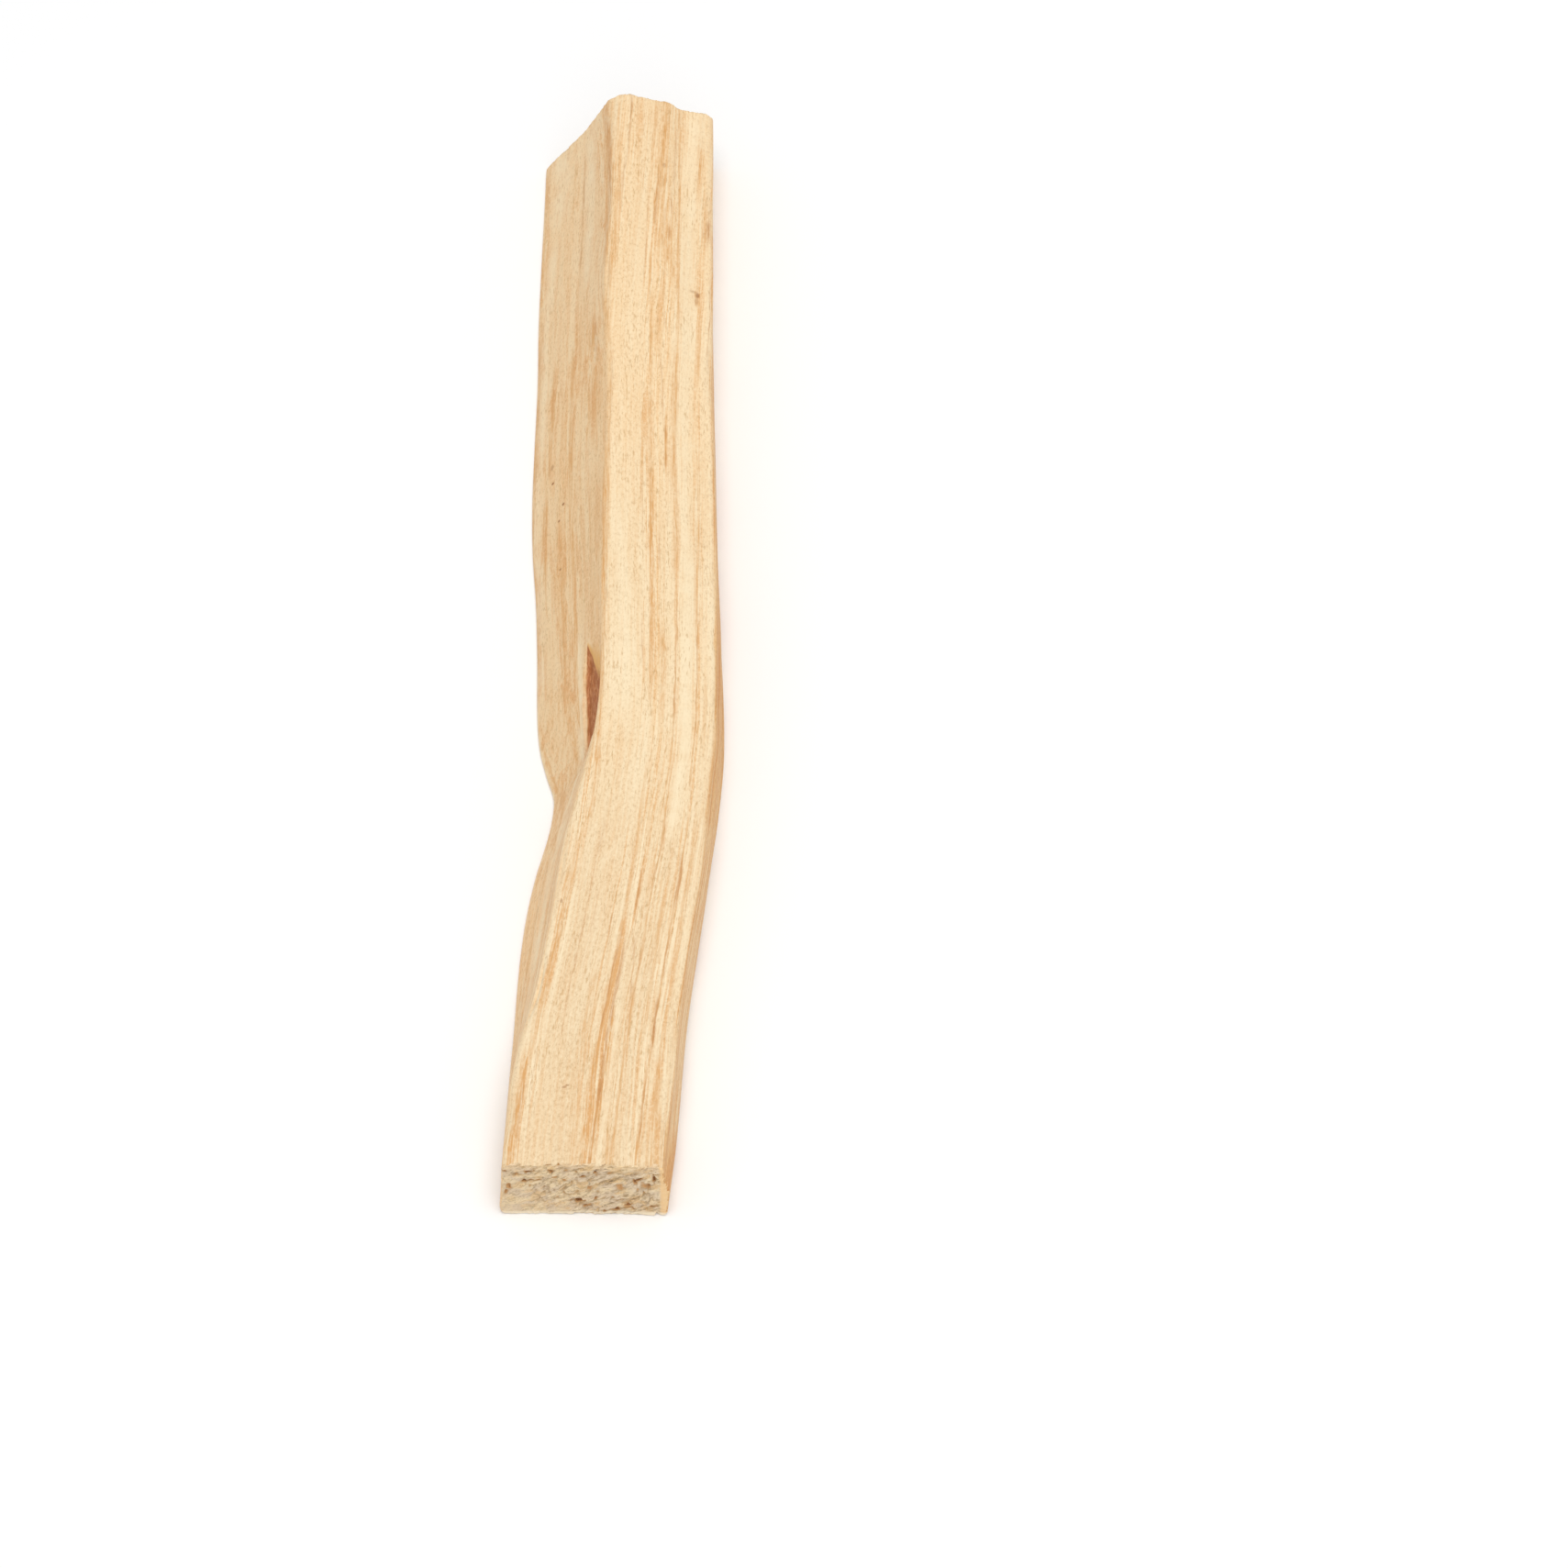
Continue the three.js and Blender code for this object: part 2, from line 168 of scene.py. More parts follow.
# Streaks of colour that the eye picks out, each as its half width in mm, its strength from 0 to 1,
# and its course as (y, place across the grain in mm) on the top.
TOP_ORANGE = [
    (0.33, 0.30, [(49.5, -4.2), (43, -4.05), (38, -3.85), (33, -3.95), (30.5, -3.9)]),
    (0.28, 0.25, [(41.5, -3.6), (37, -3.7), (31, -3.85)]),
    (0.22, 0.35, [(31, -4.1), (27, -3.95), (23, -3.7)]),
    (0.15, 0.35, [(22, -3.45), (16, -3.4), (8, -3.5), (2, -3.55)]),
    (0.14, 0.35, [(20.5, -3.4), (18, -3.35), (16, -3.4)]),
    (0.14, 0.35, [(12, -3.5), (7, -3.4), (3, -3.6)]),
    (0.12, 0.45, [(50, -1.15), (46, -1.1), (43.5, -1.15)]),
    (0.10, 0.50, [(50, -0.85), (48, -0.87), (45.5, -0.8)]),
    (0.20, 0.65, [(50, -0.45), (47, -0.3), (44, -0.38), (41, -0.5), (37.5, -0.62)]),
    (0.50, 0.35, [(50, -0.3), (42, -0.2), (34, 0.1)]),
    (0.12, 0.60, [(49.5, 0.95), (45, 1.12), (42, 1.3), (39, 1.4), (35, 1.5), (30, 1.6), (27, 1.72),
                  (22, 1.82), (18, 1.87), (13, 1.92), (8, 1.98), (3, 2.05)]),
    (0.25, 0.90, [(37, 0.6), (36.2, 0.66), (35.4, 0.68)]),
    (0.25, 0.80, [(35, 0.6), (34.3, 0.62), (33.2, 0.64)]),
    (0.12, 0.60, [(33.5, -0.8), (31, -0.75), (29.3, -0.72)]),
    (0.12, 0.60, [(29, -0.55), (26, -0.45), (23.5, -0.3), (20.5, -0.15)]),
    (0.20, 0.40, [(29, 0.15), (27, 0.2), (25, 0.25)]),
    (0.25, 0.45, [(34.5, 0.9), (32.5, 1.0), (31.2, 1.05)]),
    (0.20, 0.70, [(24.3, 1.62), (23, 1.58), (20, 1.65), (17.5, 1.7)]),
    (0.15, 0.50, [(19.5, -0.28), (16, -0.1), (12, 0)]),
    (0.12, 0.50, [(19, -0.8), (16, -0.78), (12.5, -0.75)]),
    (0.15, 0.85, [(17.3, 1.1), (15.5, 1.15), (12.6, 1.15)]),
    (0.15, 0.55, [(17, 1.7), (14, 1.75), (11, 1.75)]),
    (0.19, 0.95, [(12.5, -0.03), (9, -0.02), (6.5, 0), (3.5, 0.05)]),
    (0.15, 0.50, [(6.3, 1.8), (4.5, 1.82), (2.8, 1.8)]),
    (0.18, 0.55, [(7.7, 3.7), (5, 3.72), (2.5, 3.7)]),
    (0.15, 0.35, [(2.5, 3.55), (0, 3.5), (-3, 3.6)]),
    (0.15, 0.45, [(30.2, 3.35), (28, 3.5), (25, 3.58), (22, 3.6)]),
    (0.30, 0.45, [(46.5, 2.75), (44, 2.9), (41, 2.95)]),
    (0.15, 0.40, [(14.5, 3.75), (12, 3.78), (9.5, 3.75)]),
    (0.20, 0.50, [(1, -3.65), (-3, -3.7), (-7, -3.75), (-11, -3.75), (-13.5, -3.6)]),
    (0.28, 0.55, [(-13.8, -3.6), (-14.8, -3.5), (-15.8, -3.4)]),
    (0.20, 0.40, [(-16.5, -3.4), (-18.5, -3.4), (-20.5, -3.45)]),
    (0.30, 0.45, [(-21.5, -4.0), (-25, -4.0), (-30, -3.95)]),
    (0.20, 0.45, [(-29, -3.95), (-33, -3.95), (-37, -4.0), (-40.5, -4.1)]),
    (0.25, 0.70, [(-40, -4.4), (-44, -4.6), (-49.5, -4.7)]),
    (0.12, 0.60, [(-43.5, -5.15), (-46, -5.2), (-49.5, -5.2)]),
    (0.20, 0.50, [(3, 0.05), (0, 0), (-4, 0), (-8.5, 0.03)]),
    (0.15, 0.50, [(-0.5, 0.02), (-1.5, 0.05), (-3.2, 0.05)]),
    (0.28, 0.35, [(-2.5, 0.9), (-6, 1.0), (-10.5, 0.95)]),
    (0.12, 0.45, [(-15, 0.2), (-19, 0.25), (-24, 0.35)]),
    (0.10, 0.50, [(-23.5, 0.35), (-27, 0.38), (-30, 0.3)]),
    (0.17, 0.90, [(-31.4, 0.43), (-33, 0.40), (-34.5, 0.38), (-36.5, 0.36)]),
    (0.24, 0.35, [(-28, 0.50), (-32, 0.52), (-35, 0.50), (-38, 0.44)]),
    (0.10, 0.50, [(-31, 0.62), (-34, 0.60), (-37, 0.60), (-40, 0.55)]),
    (0.16, 0.70, [(-36.5, 0.36), (-39, 0.33), (-41, 0.28)]),
    (0.24, 0.85, [(-40, 0.18), (-43, 0.12), (-46, 0.05), (-50, 0)]),
    (0.20, 0.85, [(-36.5, 0.95), (-40, 0.92), (-43, 0.85), (-45.5, 0.72)]),
    (0.20, 0.60, [(31.2, 3.15), (30.5, 3.2), (29.6, 3.25)]),
    (0.15, 0.65, [(-24.8, 1.1), (-26, 1.12), (-27.8, 1.1)]),
    (0.20, 0.70, [(-43, 0.65), (-46, 0.55), (-50, 0.45)]),
    (0.10, 0.50, [(-35.5, -0.25), (-38, -0.28), (-40.5, -0.3)]),
    (0.30, 0.28, [(-33, -0.8), (-40, -0.8), (-50, -0.8)]),
    (0.10, 0.65, [(2, 2.0), (-5, 1.93), (-11, 1.97), (-15, 2.05), (-19, 2.1), (-22, 2.18),
                  (-25, 2.05), (-30, 2.1), (-33, 2.15), (-37, 2.2), (-41, 2.1), (-44.5, 1.93),
                  (-48, 1.78), (-50, 1.7)]),
    (0.06, 0.50, [(2, 3.62), (-5, 3.6), (-10, 3.65), (-12, 3.62), (-16, 3.67), (-20, 3.8)]),
    (0.08, 0.65, [(-19, 3.77), (-21, 3.82), (-25, 3.87), (-30, 3.82), (-35, 3.93), (-38, 3.96),
                  (-41, 3.78), (-45, 3.6), (-48.5, 3.4), (-50, 3.3)]),
    (0.12, 0.40, [(-7, 4.3), (-10, 4.3), (-13, 4.35)]),
    (0.15, 0.45, [(-20, 4.45), (-26, 4.5), (-33, 4.5)]),
    (0.20, 0.60, [(-40.5, 4.5), (-43, 4.5), (-45, 4.45)]),
    (0.35, 0.60, [(-44.8, 4.6), (-45.8, 4.6), (-46.8, 4.55)]),
    (0.40, 0.40, [(-46.8, 4.5), (-48.5, 4.6), (-50, 4.5)]),
    (0.20, 0.25, [(-21.5, 2.8), (-26, 2.9), (-31, 3.0)]),
    (0.12, 0.45, [(-27.5, 3.0), (-32, 3.15), (-37, 3.3)]),
    (0.15, 0.40, [(-44.5, 1.55), (-47, 1.5), (-50, 1.45)]),
    (0.25, 0.35, [(-9, 5.3), (-14, 5.25), (-20, 5.15)]),
]
# Wide zones of tanner wood, where the fine lines are strong and close.
TOP_TAN = [
    (1.00, 0.45, [(50, -0.3), (42, 0), (34, 0.3)]),
    (0.80, 0.35, [(36, 0.3), (28, 0.4), (20, 0.6), (10, 0.5)]),
    (0.50, 0.45, [(12, 0), (0, 0.2), (-10, 0.6), (-20, 0.9)]),
    (0.60, 0.50, [(-18, 0.9), (-25, 1.0), (-30, 0.8)]),
    (0.50, 0.65, [(-28, 0.5), (-36, 0.5), (-44, 0.4), (-50, 0.2)]),
    (0.50, 0.35, [(50, -4.0), (40, -3.7), (32, -3.9)]),
    (0.35, 0.15, [(30, -4.0), (22, -3.5), (10, -3.5), (0, -3.6), (-12, -3.8)]),
    (0.50, 0.55, [(-13, -3.6), (-22, -3.9), (-32, -3.9), (-42, -4.2), (-50, -4.6)]),
    (0.35, 0.40, [(50, 1.3), (35, 1.5), (20, 1.8), (5, 2.0), (-20, 2.1), (-50, 1.8)]),
    (0.35, 0.45, [(46, 3.0), (30, 3.4), (10, 3.7), (-10, 3.6), (-30, 3.85), (-50, 3.4)]),
    (0.50, 0.45, [(-20, 4.5), (-35, 4.5), (-50, 4.6)]),
    (0.90, 0.30, [(50, -2.2), (45, -2.2), (40, -2.1)]),
    (0.40, 0.50, [(38, -0.8), (25, -0.6), (8, -0.6)]),
    (0.15, 0.35, [(4, -0.6), (-20, -0.4), (-36, -0.4), (-50, -0.8)]),
    (0.30, 0.95, [(-36, 0.95), (-41, 0.9), (-46, 0.7)]),
    (0.35, 0.45, [(-25, 3.0), (-35, 3.2), (-46, 3.1)]),
]
TOP_BROWN = [
    (0.07, 0.60, [(49.5, -3.15), (46.5, -3.18), (43.8, -3.18)]),
    (0.10, 0.35, [(43.5, -3.25), (41, -3.4), (38, -3.5)]),
    (0.08, 0.45, [(47, 0.75), (44, 0.78), (41, 0.8)]),
    (0.07, 0.60, [(40.3, 0.6), (39, 0.68), (37.3, 0.78)]),
    (0.10, 0.50, [(41.5, -0.5), (39.5, -0.58), (37.5, -0.6)]),
    (0.12, 0.80, [(36.7, 0.62), (36.1, 0.66), (35.6, 0.66)]),
    (0.06, 0.50, [(33.3, 0.42), (31.5, 0.45), (29.5, 0.5), (27, 0.6)]),
    (0.06, 0.35, [(41, -1.2), (38, -1.2), (31, -1.2)]),
    (0.08, 0.50, [(23.5, 0.5), (21, 0.68), (18, 0.85)]),
    (0.06, 0.35, [(12.5, -0.75), (9, -0.72), (5.5, -0.7)]),
    (0.08, 0.50, [(16.8, 1.1), (16.2, 1.12), (15.6, 1.12)]),
    (0.08, 0.50, [(14, 1.15), (13.4, 1.15), (12.8, 1.15)]),
    (0.08, 0.40, [(6.2, 0.6), (5, 0.62), (3.4, 0.65)]),
    (0.05, 0.50, [(31, 4.2), (28, 4.22), (24.5, 4.2)]),
    (0.18, 0.45, [(38.3, 3.85), (37.5, 3.9), (36.8, 3.95)]),
    (0.40, 0.20, [(40.5, 3.5), (38.5, 3.7), (36, 3.8)]),
    (0.06, 0.40, [(-1.5, -0.68), (-3, -0.7), (-5.5, -0.65)]),
    (0.06, 0.45, [(0, 1.97), (-6, 1.92), (-12, 1.97)]),
    (0.07, 0.50, [(-20, 2.14), (-22, 2.2), (-25, 2.05)]),
    (0.05, 0.35, [(0, 3.62), (-6, 3.6), (-13, 3.63)]),
    (0.12, 0.75, [(-23.3, 3.85), (-25, 3.87), (-26.9, 3.87)]),
    (0.08, 0.50, [(-30, 3.83), (-32, 3.87), (-33.5, 3.9)]),
    (0.10, 0.75, [(-35.3, 3.93), (-37.5, 3.97), (-39.5, 3.93)]),
    (0.08, 0.50, [(-42, 3.75), (-45, 3.6), (-47, 3.5)]),
    (0.05, 0.60, [(-30.5, 2.1), (-34, 2.15), (-37, 2.12)]),
    (0.07, 0.50, [(-30, 0.8), (-33, 0.85), (-35, 0.85)]),
    (0.07, 0.60, [(-30, 0.42), (-33, 0.34), (-36, 0.38), (-38, 0.34)]),
    (0.09, 0.70, [(-35, 0.88), (-37.5, 0.87), (-40, 0.83)]),
    (0.14, 0.80, [(-40, 0.8), (-42, 0.76), (-44, 0.66)]),
    (0.10, 0.40, [(-44, 0.65), (-47, 0.5), (-49.8, 0.42)]),
    (0.12, 0.40, [(-29.6, 1.2), (-30.2, 1.4), (-30.9, 1.55)]),
    (0.06, 0.45, [(-30.3, 1.05), (-33, 0.95), (-37, 0.9)]),
    (0.06, 0.45, [(-30.2, 1.55), (-32.5, 1.75), (-35, 2.0)]),
    (0.06, 0.40, [(-28, -0.45), (-29, -0.47), (-30.2, -0.4)]),
    (0.05, 0.40, [(-24, -2.4), (-31, -2.35), (-38, -2.3)]),
    (0.06, 0.40, [(-26.5, -1.7), (-28, -1.72), (-29.5, -1.7)]),
    (0.05, 0.40, [(-40.3, -3.85), (-43, -3.85), (-46, -3.8)]),
    (0.05, 0.40, [(-42, -4.35), (-44, -4.4), (-46.5, -4.4)]),
    (0.25, 0.22, [(-20.3, -2.2), (-21.5, -2.2), (-23, -2.4)]),
    (0.08, 0.50, [(-24.5, 1.1), (-26, 1.12), (-27.6, 1.1)]),
]
TOP_PALE_AND_HIGHLIGHTS = [
    (0.06, 0.80, [(42, -0.68), (39, -0.78), (36, -0.85), (33, -0.93), (31, -1.0)]),
    (0.70, 0.50, [(49, 2.2), (44, 2.2), (36, 2.4), (30, 2.6), (20, 2.7), (13, 2.8)]),
    (0.50, 0.50, [(28, 2.4), (20, 2.5), (10, 2.6), (0, 2.8)]),
    (0.52, 0.95, [(4, 2.8), (-10, 2.8), (-16, 2.8), (-21, 2.7)]),
    (0.35, 0.50, [(0, 4.8), (-5, 4.7), (-10, 4.4)]),
    (0.06, 0.90, [(-30.5, 2.2), (-34, 2.23), (-38, 2.25), (-41, 2.2)]),
    # Painted highlight: a pale streak below a grey patch.
    (0.25, 0.50, [(-22, -1.2), (-23, -1.5), (-23.8, -1.9)]),
    (0.12, 0.60, [(-17, -4.3), (-18, -4.3), (-20, -4.5)]),
    (0.50, 0.30, [(10, -2.5), (0, -2.4), (-10, -2.4)]),
    (0.12, 0.80, [(-26, -3.4), (-32, -3.45), (-38, -3.5), (-44, -3.4)]),
    (0.10, 0.70, [(-29, -4.35), (-33, -4.35), (-37, -4.55), (-41, -4.85)]),
    (0.09, 0.80, [(-24, 0.08), (-28, 0.05), (-33, 0.02), (-38, -0.05)]),
    (0.12, 0.80, [(-35, 1.35), (-40, 1.35), (-45, 1.2), (-49, 1.05)]),
    (0.10, 0.70, [(-22, 1.6), (-26, 1.65), (-29, 1.7)]),
    (0.12, 0.70, [(-28, 3.55), (-33, 3.6), (-38, 3.6), (-44, 3.3), (-49, 2.9)]),
    (0.12, 0.90, [(-18, 4.15), (-24, 4.2), (-31, 4.2), (-38, 4.25), (-44, 4.1)]),
    (0.15, 0.80, [(-20, 4.9), (-26, 4.95), (-34, 5.0)]),
    (0.08, 0.70, [(-2, 1.7), (-8, 1.65), (-14, 1.7)]),
    (0.10, 0.60, [(2, 4.1), (-6, 4.05), (-12, 4.0)]),
]

# The same on the left faces, where the place across goes from 0 at the foot over 1 at the flute to
# 2 at the ridge.
LEFT_ORANGE = [
    (0.045, 0.75, [(27, 0.92), (20, 0.93), (15, 0.95), (8, 0.93), (2, 0.92), (-4, 0.93),
                   (-10, 0.95)]),
    (0.030, 0.50, [(18.5, 0.9), (16.5, 0.92), (14.5, 0.93)]),
    (0.050, 0.60, [(26, 0.48), (22, 0.5), (19, 0.46), (16, 0.43)]),
    (0.050, 0.60, [(14, 0.4), (11, 0.36), (8, 0.33), (5.8, 0.31)]),
    (0.050, 0.55, [(9.5, 0.68), (3, 0.67), (-3, 0.67), (-8, 0.65)]),
    (0.025, 0.40, [(44, 0.12), (30, 0.1), (10, 0.08), (-2, 0.1)]),
    (0.060, 0.35, [(49, 0.15), (44, 0.13), (38, 0.07)]),
    (0.100, 0.65, [(28, 1.5), (26.8, 1.48), (25.2, 1.5)]),
    (0.200, 0.50, [(23, 1.6), (20, 1.58), (17.5, 1.6)]),
    (0.120, 0.70, [(49, 1.75), (44, 1.82), (38, 1.9), (33, 1.95)]),
    (0.060, 0.70, [(29, 1.9), (27, 1.93), (25.5, 1.93)]),
    (0.050, 0.70, [(14, 1.95), (8, 1.94), (0, 1.93), (-6, 1.95), (-11, 1.97)]),
    (0.250, 0.25, [(13, 1.7), (5, 1.75), (0, 1.7)]),
    (0.120, 0.40, [(-12.5, 0.1), (-14, 0.4), (-16, 0.6), (-17, 0.9)]),
    (0.080, 0.40, [(-15, 0.75), (-22, 0.6), (-32, 0.5), (-45, 0.45)]),
    (0.070, 0.35, [(-17, 1.25), (-26, 1.15), (-38, 1.1), (-48, 1.1)]),
    (0.070, 0.40, [(-18, 1.65), (-28, 1.6), (-40, 1.6)]),
    (0.035, 0.55, [(-9, 0.16), (-11.5, 0.19), (-13, 0.23), (-14.5, 0.30)]),
    (0.060, 0.50, [(-7, 0.77), (-10, 0.79), (-13.5, 0.84)]),
]
LEFT_TAN = [
    (0.15, 0.40, [(30, 0.9), (10, 0.9), (-10, 0.9)]),
    (0.12, 0.40, [(27, 0.5), (18, 0.46), (6, 0.33)]),
    (0.15, 0.35, [(10, 0.67), (-8, 0.65)]),
    (0.25, 0.45, [(49, 1.75), (40, 1.85), (33, 1.9)]),
    (0.25, 0.35, [(28, 1.55), (17, 1.6)]),
    (0.10, 0.30, [(49, 0.15), (20, 0.12), (-10, 0.1)]),
    (0.90, 0.25, [(-12, 0.9), (-30, 1.0), (-49, 1.0)]),
]
LEFT_BROWN_AND_SHADE = [
    # Painted shade: a brown strip under the rounded ridge at the far end.
    (0.080, 0.30, [(49, 1.7), (45, 1.85), (41, 1.9), (37.5, 1.93)]),
    (0.070, 0.45, [(27.5, 1.63), (25.8, 1.66), (24, 1.66)]),
    (0.030, 0.45, [(46, 1.0), (40, 0.98), (33, 1.0)]),
    (0.030, 0.35, [(17.5, 0.45), (16.7, 0.45), (16, 0.45)]),
    (0.025, 0.35, [(30, 0.13), (20, 0.13), (10, 0.1)]),
]
LEFT_PALE_AND_HIGHLIGHTS = [
    # Painted highlight: a pale rim along the left foot's edge.
    (0.030, 0.80, [(46, 0.03), (30, 0.03), (10, 0.03), (-13, 0.03)]),
    (0.120, 0.60, [(48.5, 1.25), (43, 1.22), (38, 1.2), (33, 1.25)]),
    (0.150, 0.50, [(49, 0.45), (45, 0.5), (42, 0.5)]),
    (0.100, 0.50, [(40, 0.3), (30, 0.27), (15, 0.22), (6, 0.15), (-4, 0.15)]),
    # Painted highlight: a pale rim along the foot edge, on to the notch.
    (0.055, 0.80, [(0, 0.06), (-5, 0.06), (-9, 0.06), (-12, 0.07), (-15, 0.09)]),
    (0.090, 0.80, [(-2, 1.0), (-8, 1.02), (-13, 1.03), (-16, 1.06), (-20, 1.08)]),
    (0.020, 0.80, [(14.3, 1.05), (13.9, 1.2), (13.3, 1.35)]),
    (0.100, 0.60, [(-14, 1.0), (-22, 0.85), (-32, 0.8), (-46, 0.8)]),
    (0.080, 0.60, [(-15, 1.5), (-25, 1.4), (-38, 1.35), (-48, 1.35)]),
    (0.080, 0.50, [(-19, 1.9), (-28, 1.85), (-40, 1.85)]),
]

# How much painted shade darkens the side faces along the stick; the same numbers make their threads
# stronger.
LEFT_SHADE_AND_THREADS = [(-50, 0.5), (-18, 0.5), (-12, 0.95), (15, 0.95), (30, 0.75), (50, 0.5)]
RIGHT_SHADE_AND_THREADS = [(-50, 2.7), (-47, 2.2), (-44, 1.3), (-38, 1.0), (-24, 1.35), (-17, 2.05), (-3, 2.15),
              (10, 1.6), (25, 1.1), (50, 0.8)]
# How much of the warm tone the left faces have on the near half, partly their own colour and partly
# painted light where they lie in shade.
LEFT_WARM_AND_LIGHT = [(-50, 0.5), (-17, 0.5), (-12, 0), (50, 0)]

# The left faces' coordinate in millimetres and the strength of their streaks, and how much of the
# right flank's wood is the tanner one, partly its own colour and partly painted shade.
LEFT_MM = 5.0
LEFT_SHARE = 0.82
RIGHT_TAN_AND_SHADE = 0.5
# How often the border between the side faces' painted shade and the top is softened.
SIDE_SOFT = 2

# Streaks that leave each other the room share a lane. They are compared at some places along them
# and this far past their ends. Where a lane has no streak its half width is the plain one. A lane
# has so many seeds, and its left half's start halfway.
LANE = {"room": 0.5, "places": 12, "past": 2.0, "plain": 0.1, "seeds": 10}
# How a streak's ends taper: the longest taper, and its share of the streak.
TAPER = {"most": 1.5, "share": 0.35}
# How a patch's and a streak's middle wanders, as (size, waves in each mm), a patch's size in its
# half widths, the waves of their strength in each mm, and how their sides die out.
PATCH = {"wander": [(0.35, 0.3), (0.15, 1.5)], "uneven": 1.7, "falloff": 2.6}
STREAK = {"wander": [(0.03, 0.35), (0.02, 1.2)], "uneven": 0.9, "reach": (0.10, 0.24)}
STRENGTH = {"least": 0.85, "gain": 0.3, "present": 0.02}
FRAY = 0.35

# Pin knots, resin dots and flecks: place, half size across and along in mm, strength.
SPOTS = [
    ((5.72, 30.50, 6.9), (0.16, 0.24), 0.78),
    ((5.40, 30.80, 7.0), (0.28, 0.13), 0.35),
    ((5.62, 29.90, 6.9), (0.15, 0.40), 0.30),
    ((-3.40, -42.72, 6.5), (0.17, 0.09), 0.6),
    ((-3.18, -42.58, 6.5), (0.14, 0.08), 0.6),
    ((-5.86, 16.65, 2.1), (0.12, 0.28), 0.45),
    ((-5.77, 15.00, 2.3), (0.10, 0.12), 1.0),
    ((-4.83, 12.15, 3.7), (0.10, 0.12), 1.0),
    ((-5.15, 10.80, 3.1), (0.09, 0.10), 0.85),
    ((-4.95, 6.10, 3.1), (0.09, 0.10), 0.7),
    ((2.88, 42.95, 8.3), (0.13, 0.22), 0.4),
    ((-3.95, -27.00, 7.0), (0.10, 0.18), 0.5),
]

# The torn ends: fibres that run up to the right, flakes between them with crevices at the low ones'
# rims, finer strands, and dark pits. The crevices and the strands' creases are given painted shade.
# Each curl of the fibres is its size and its waves in each mm along them and over them.
TEAR_RISE = math.radians(30)
CURLS = [(0.5, 0.45, 0.6), (0.12, 1.6, 1.6)]
FLAKE = {"length": 1.7, "width": 0.45, "depth": 0.11, "tilt": 0.06, "crevice": 0.12,
         "lean": 0.4, "rim": (0.2, 0.0), "low": (0.8, 0.1), "dark": 0.35}
STRAND = {"length": 1.2, "width": 0.19, "depth": 0.12, "finer": 2.1, "share": 0.4,
          "crease": (0.3, 0.0), "dark": 0.18}
GRIT = {"depth": 0.05, "length": 0.22, "width": 0.154, "octaves": 3}
PIT = {"depth": 0.2, "side": (1.4, 0.65), "turn": 0.15, "ragged": 0.12, "waves": 3}
# Pits of the near end as (x, z), half length, half width, darkness.
NEAR_PITS = [
    (-7.7, 5.50, 0.22, 0.20, 0.80), (-5.95, 5.50, 0.30, 0.17, 0.75), (-6.8, 5.10, 0.22, 0.10, 0.50),
    (-4.3, 5.50, 0.18, 0.20, 0.70), (-3.2, 5.50, 0.13, 0.14, 0.50), (-1.1, 5.30, 0.13, 0.14, 0.55),
    (0.0, 5.40, 0.15, 0.14, 0.42), (3.2, 5.30, 0.13, 0.14, 0.55), (-6.25, 4.25, 0.20, 0.23, 1.00),
    (-5.8, 4.35, 0.14, 0.13, 0.75), (-5.3, 4.25, 0.30, 0.08, 0.65), (-5.8, 3.75, 0.16, 0.13, 0.60),
    (-7.4, 3.50, 0.16, 0.34, 0.62), (-7.6, 2.80, 0.13, 0.24, 0.60), (-4.0, 4.60, 0.22, 0.13, 0.48),
    (-3.3, 4.10, 0.10, 0.24, 0.50), (-4.0, 2.10, 0.30, 0.09, 0.45), (-2.3, 1.65, 0.24, 0.16, 0.90),
    (-2.0, 1.70, 0.16, 0.17, 0.90), (-1.0, 2.90, 0.10, 0.28, 0.65), (-1.1, 2.20, 0.14, 0.20, 0.75),
    (0.45, 4.60, 0.13, 0.12, 0.50), (0.7, 3.80, 0.25, 0.13, 0.60), (0.65, 3.25, 0.20, 0.15, 0.70),
    (1.85, 4.25, 0.18, 0.22, 0.88), (2.15, 4.50, 0.26, 0.13, 0.80), (2.5, 3.90, 0.32, 0.24, 0.42),
    (2.8, 3.65, 0.14, 0.16, 0.68), (2.15, 3.45, 0.17, 0.14, 0.62), (3.25, 4.70, 0.11, 0.38, 0.80),
    (0.3, 0.68, 0.36, 0.20, 0.86), (-0.45, 0.50, 0.13, 0.16, 0.65), (1.2, 1.35, 0.36, 0.14, 0.82),
    (1.15, 0.95, 0.42, 0.24, 0.42), (1.6, 0.85, 0.10, 0.24, 0.60), (3.15, 1.05, 0.30, 0.12, 0.72),
]
# Small pits are drawn by lot, each from these ranges in this order.
SMALL_PITS = 60
SMALL_PIT = {"x": (-8.0, 8.0), "z": (0.2, 8.5), "length": (0.06, 0.22), "width": (0.04, 0.10),
             "dark": (0.25, 0.75)}
TORN_MIDDLE = 0.2
# The left of an end is less torn, and the near end's right corner is clean.
CALM = {"across": (-7.0, -2.0), "per_z": 0.6, "least": 0.45}
CLEAN_CORNER = {"across": (3.50, 3.78), "smooth": 0.8, "colour": 0.85}
END_RAMP = 0.5
RIM_FADE = 1.5
RIM_WEAR = 0.10
# Farther than any flake or streak. Each octave of a layered noise is this much finer.
FAR_AWAY = 9.0
OCTAVE_STEP = 2.03


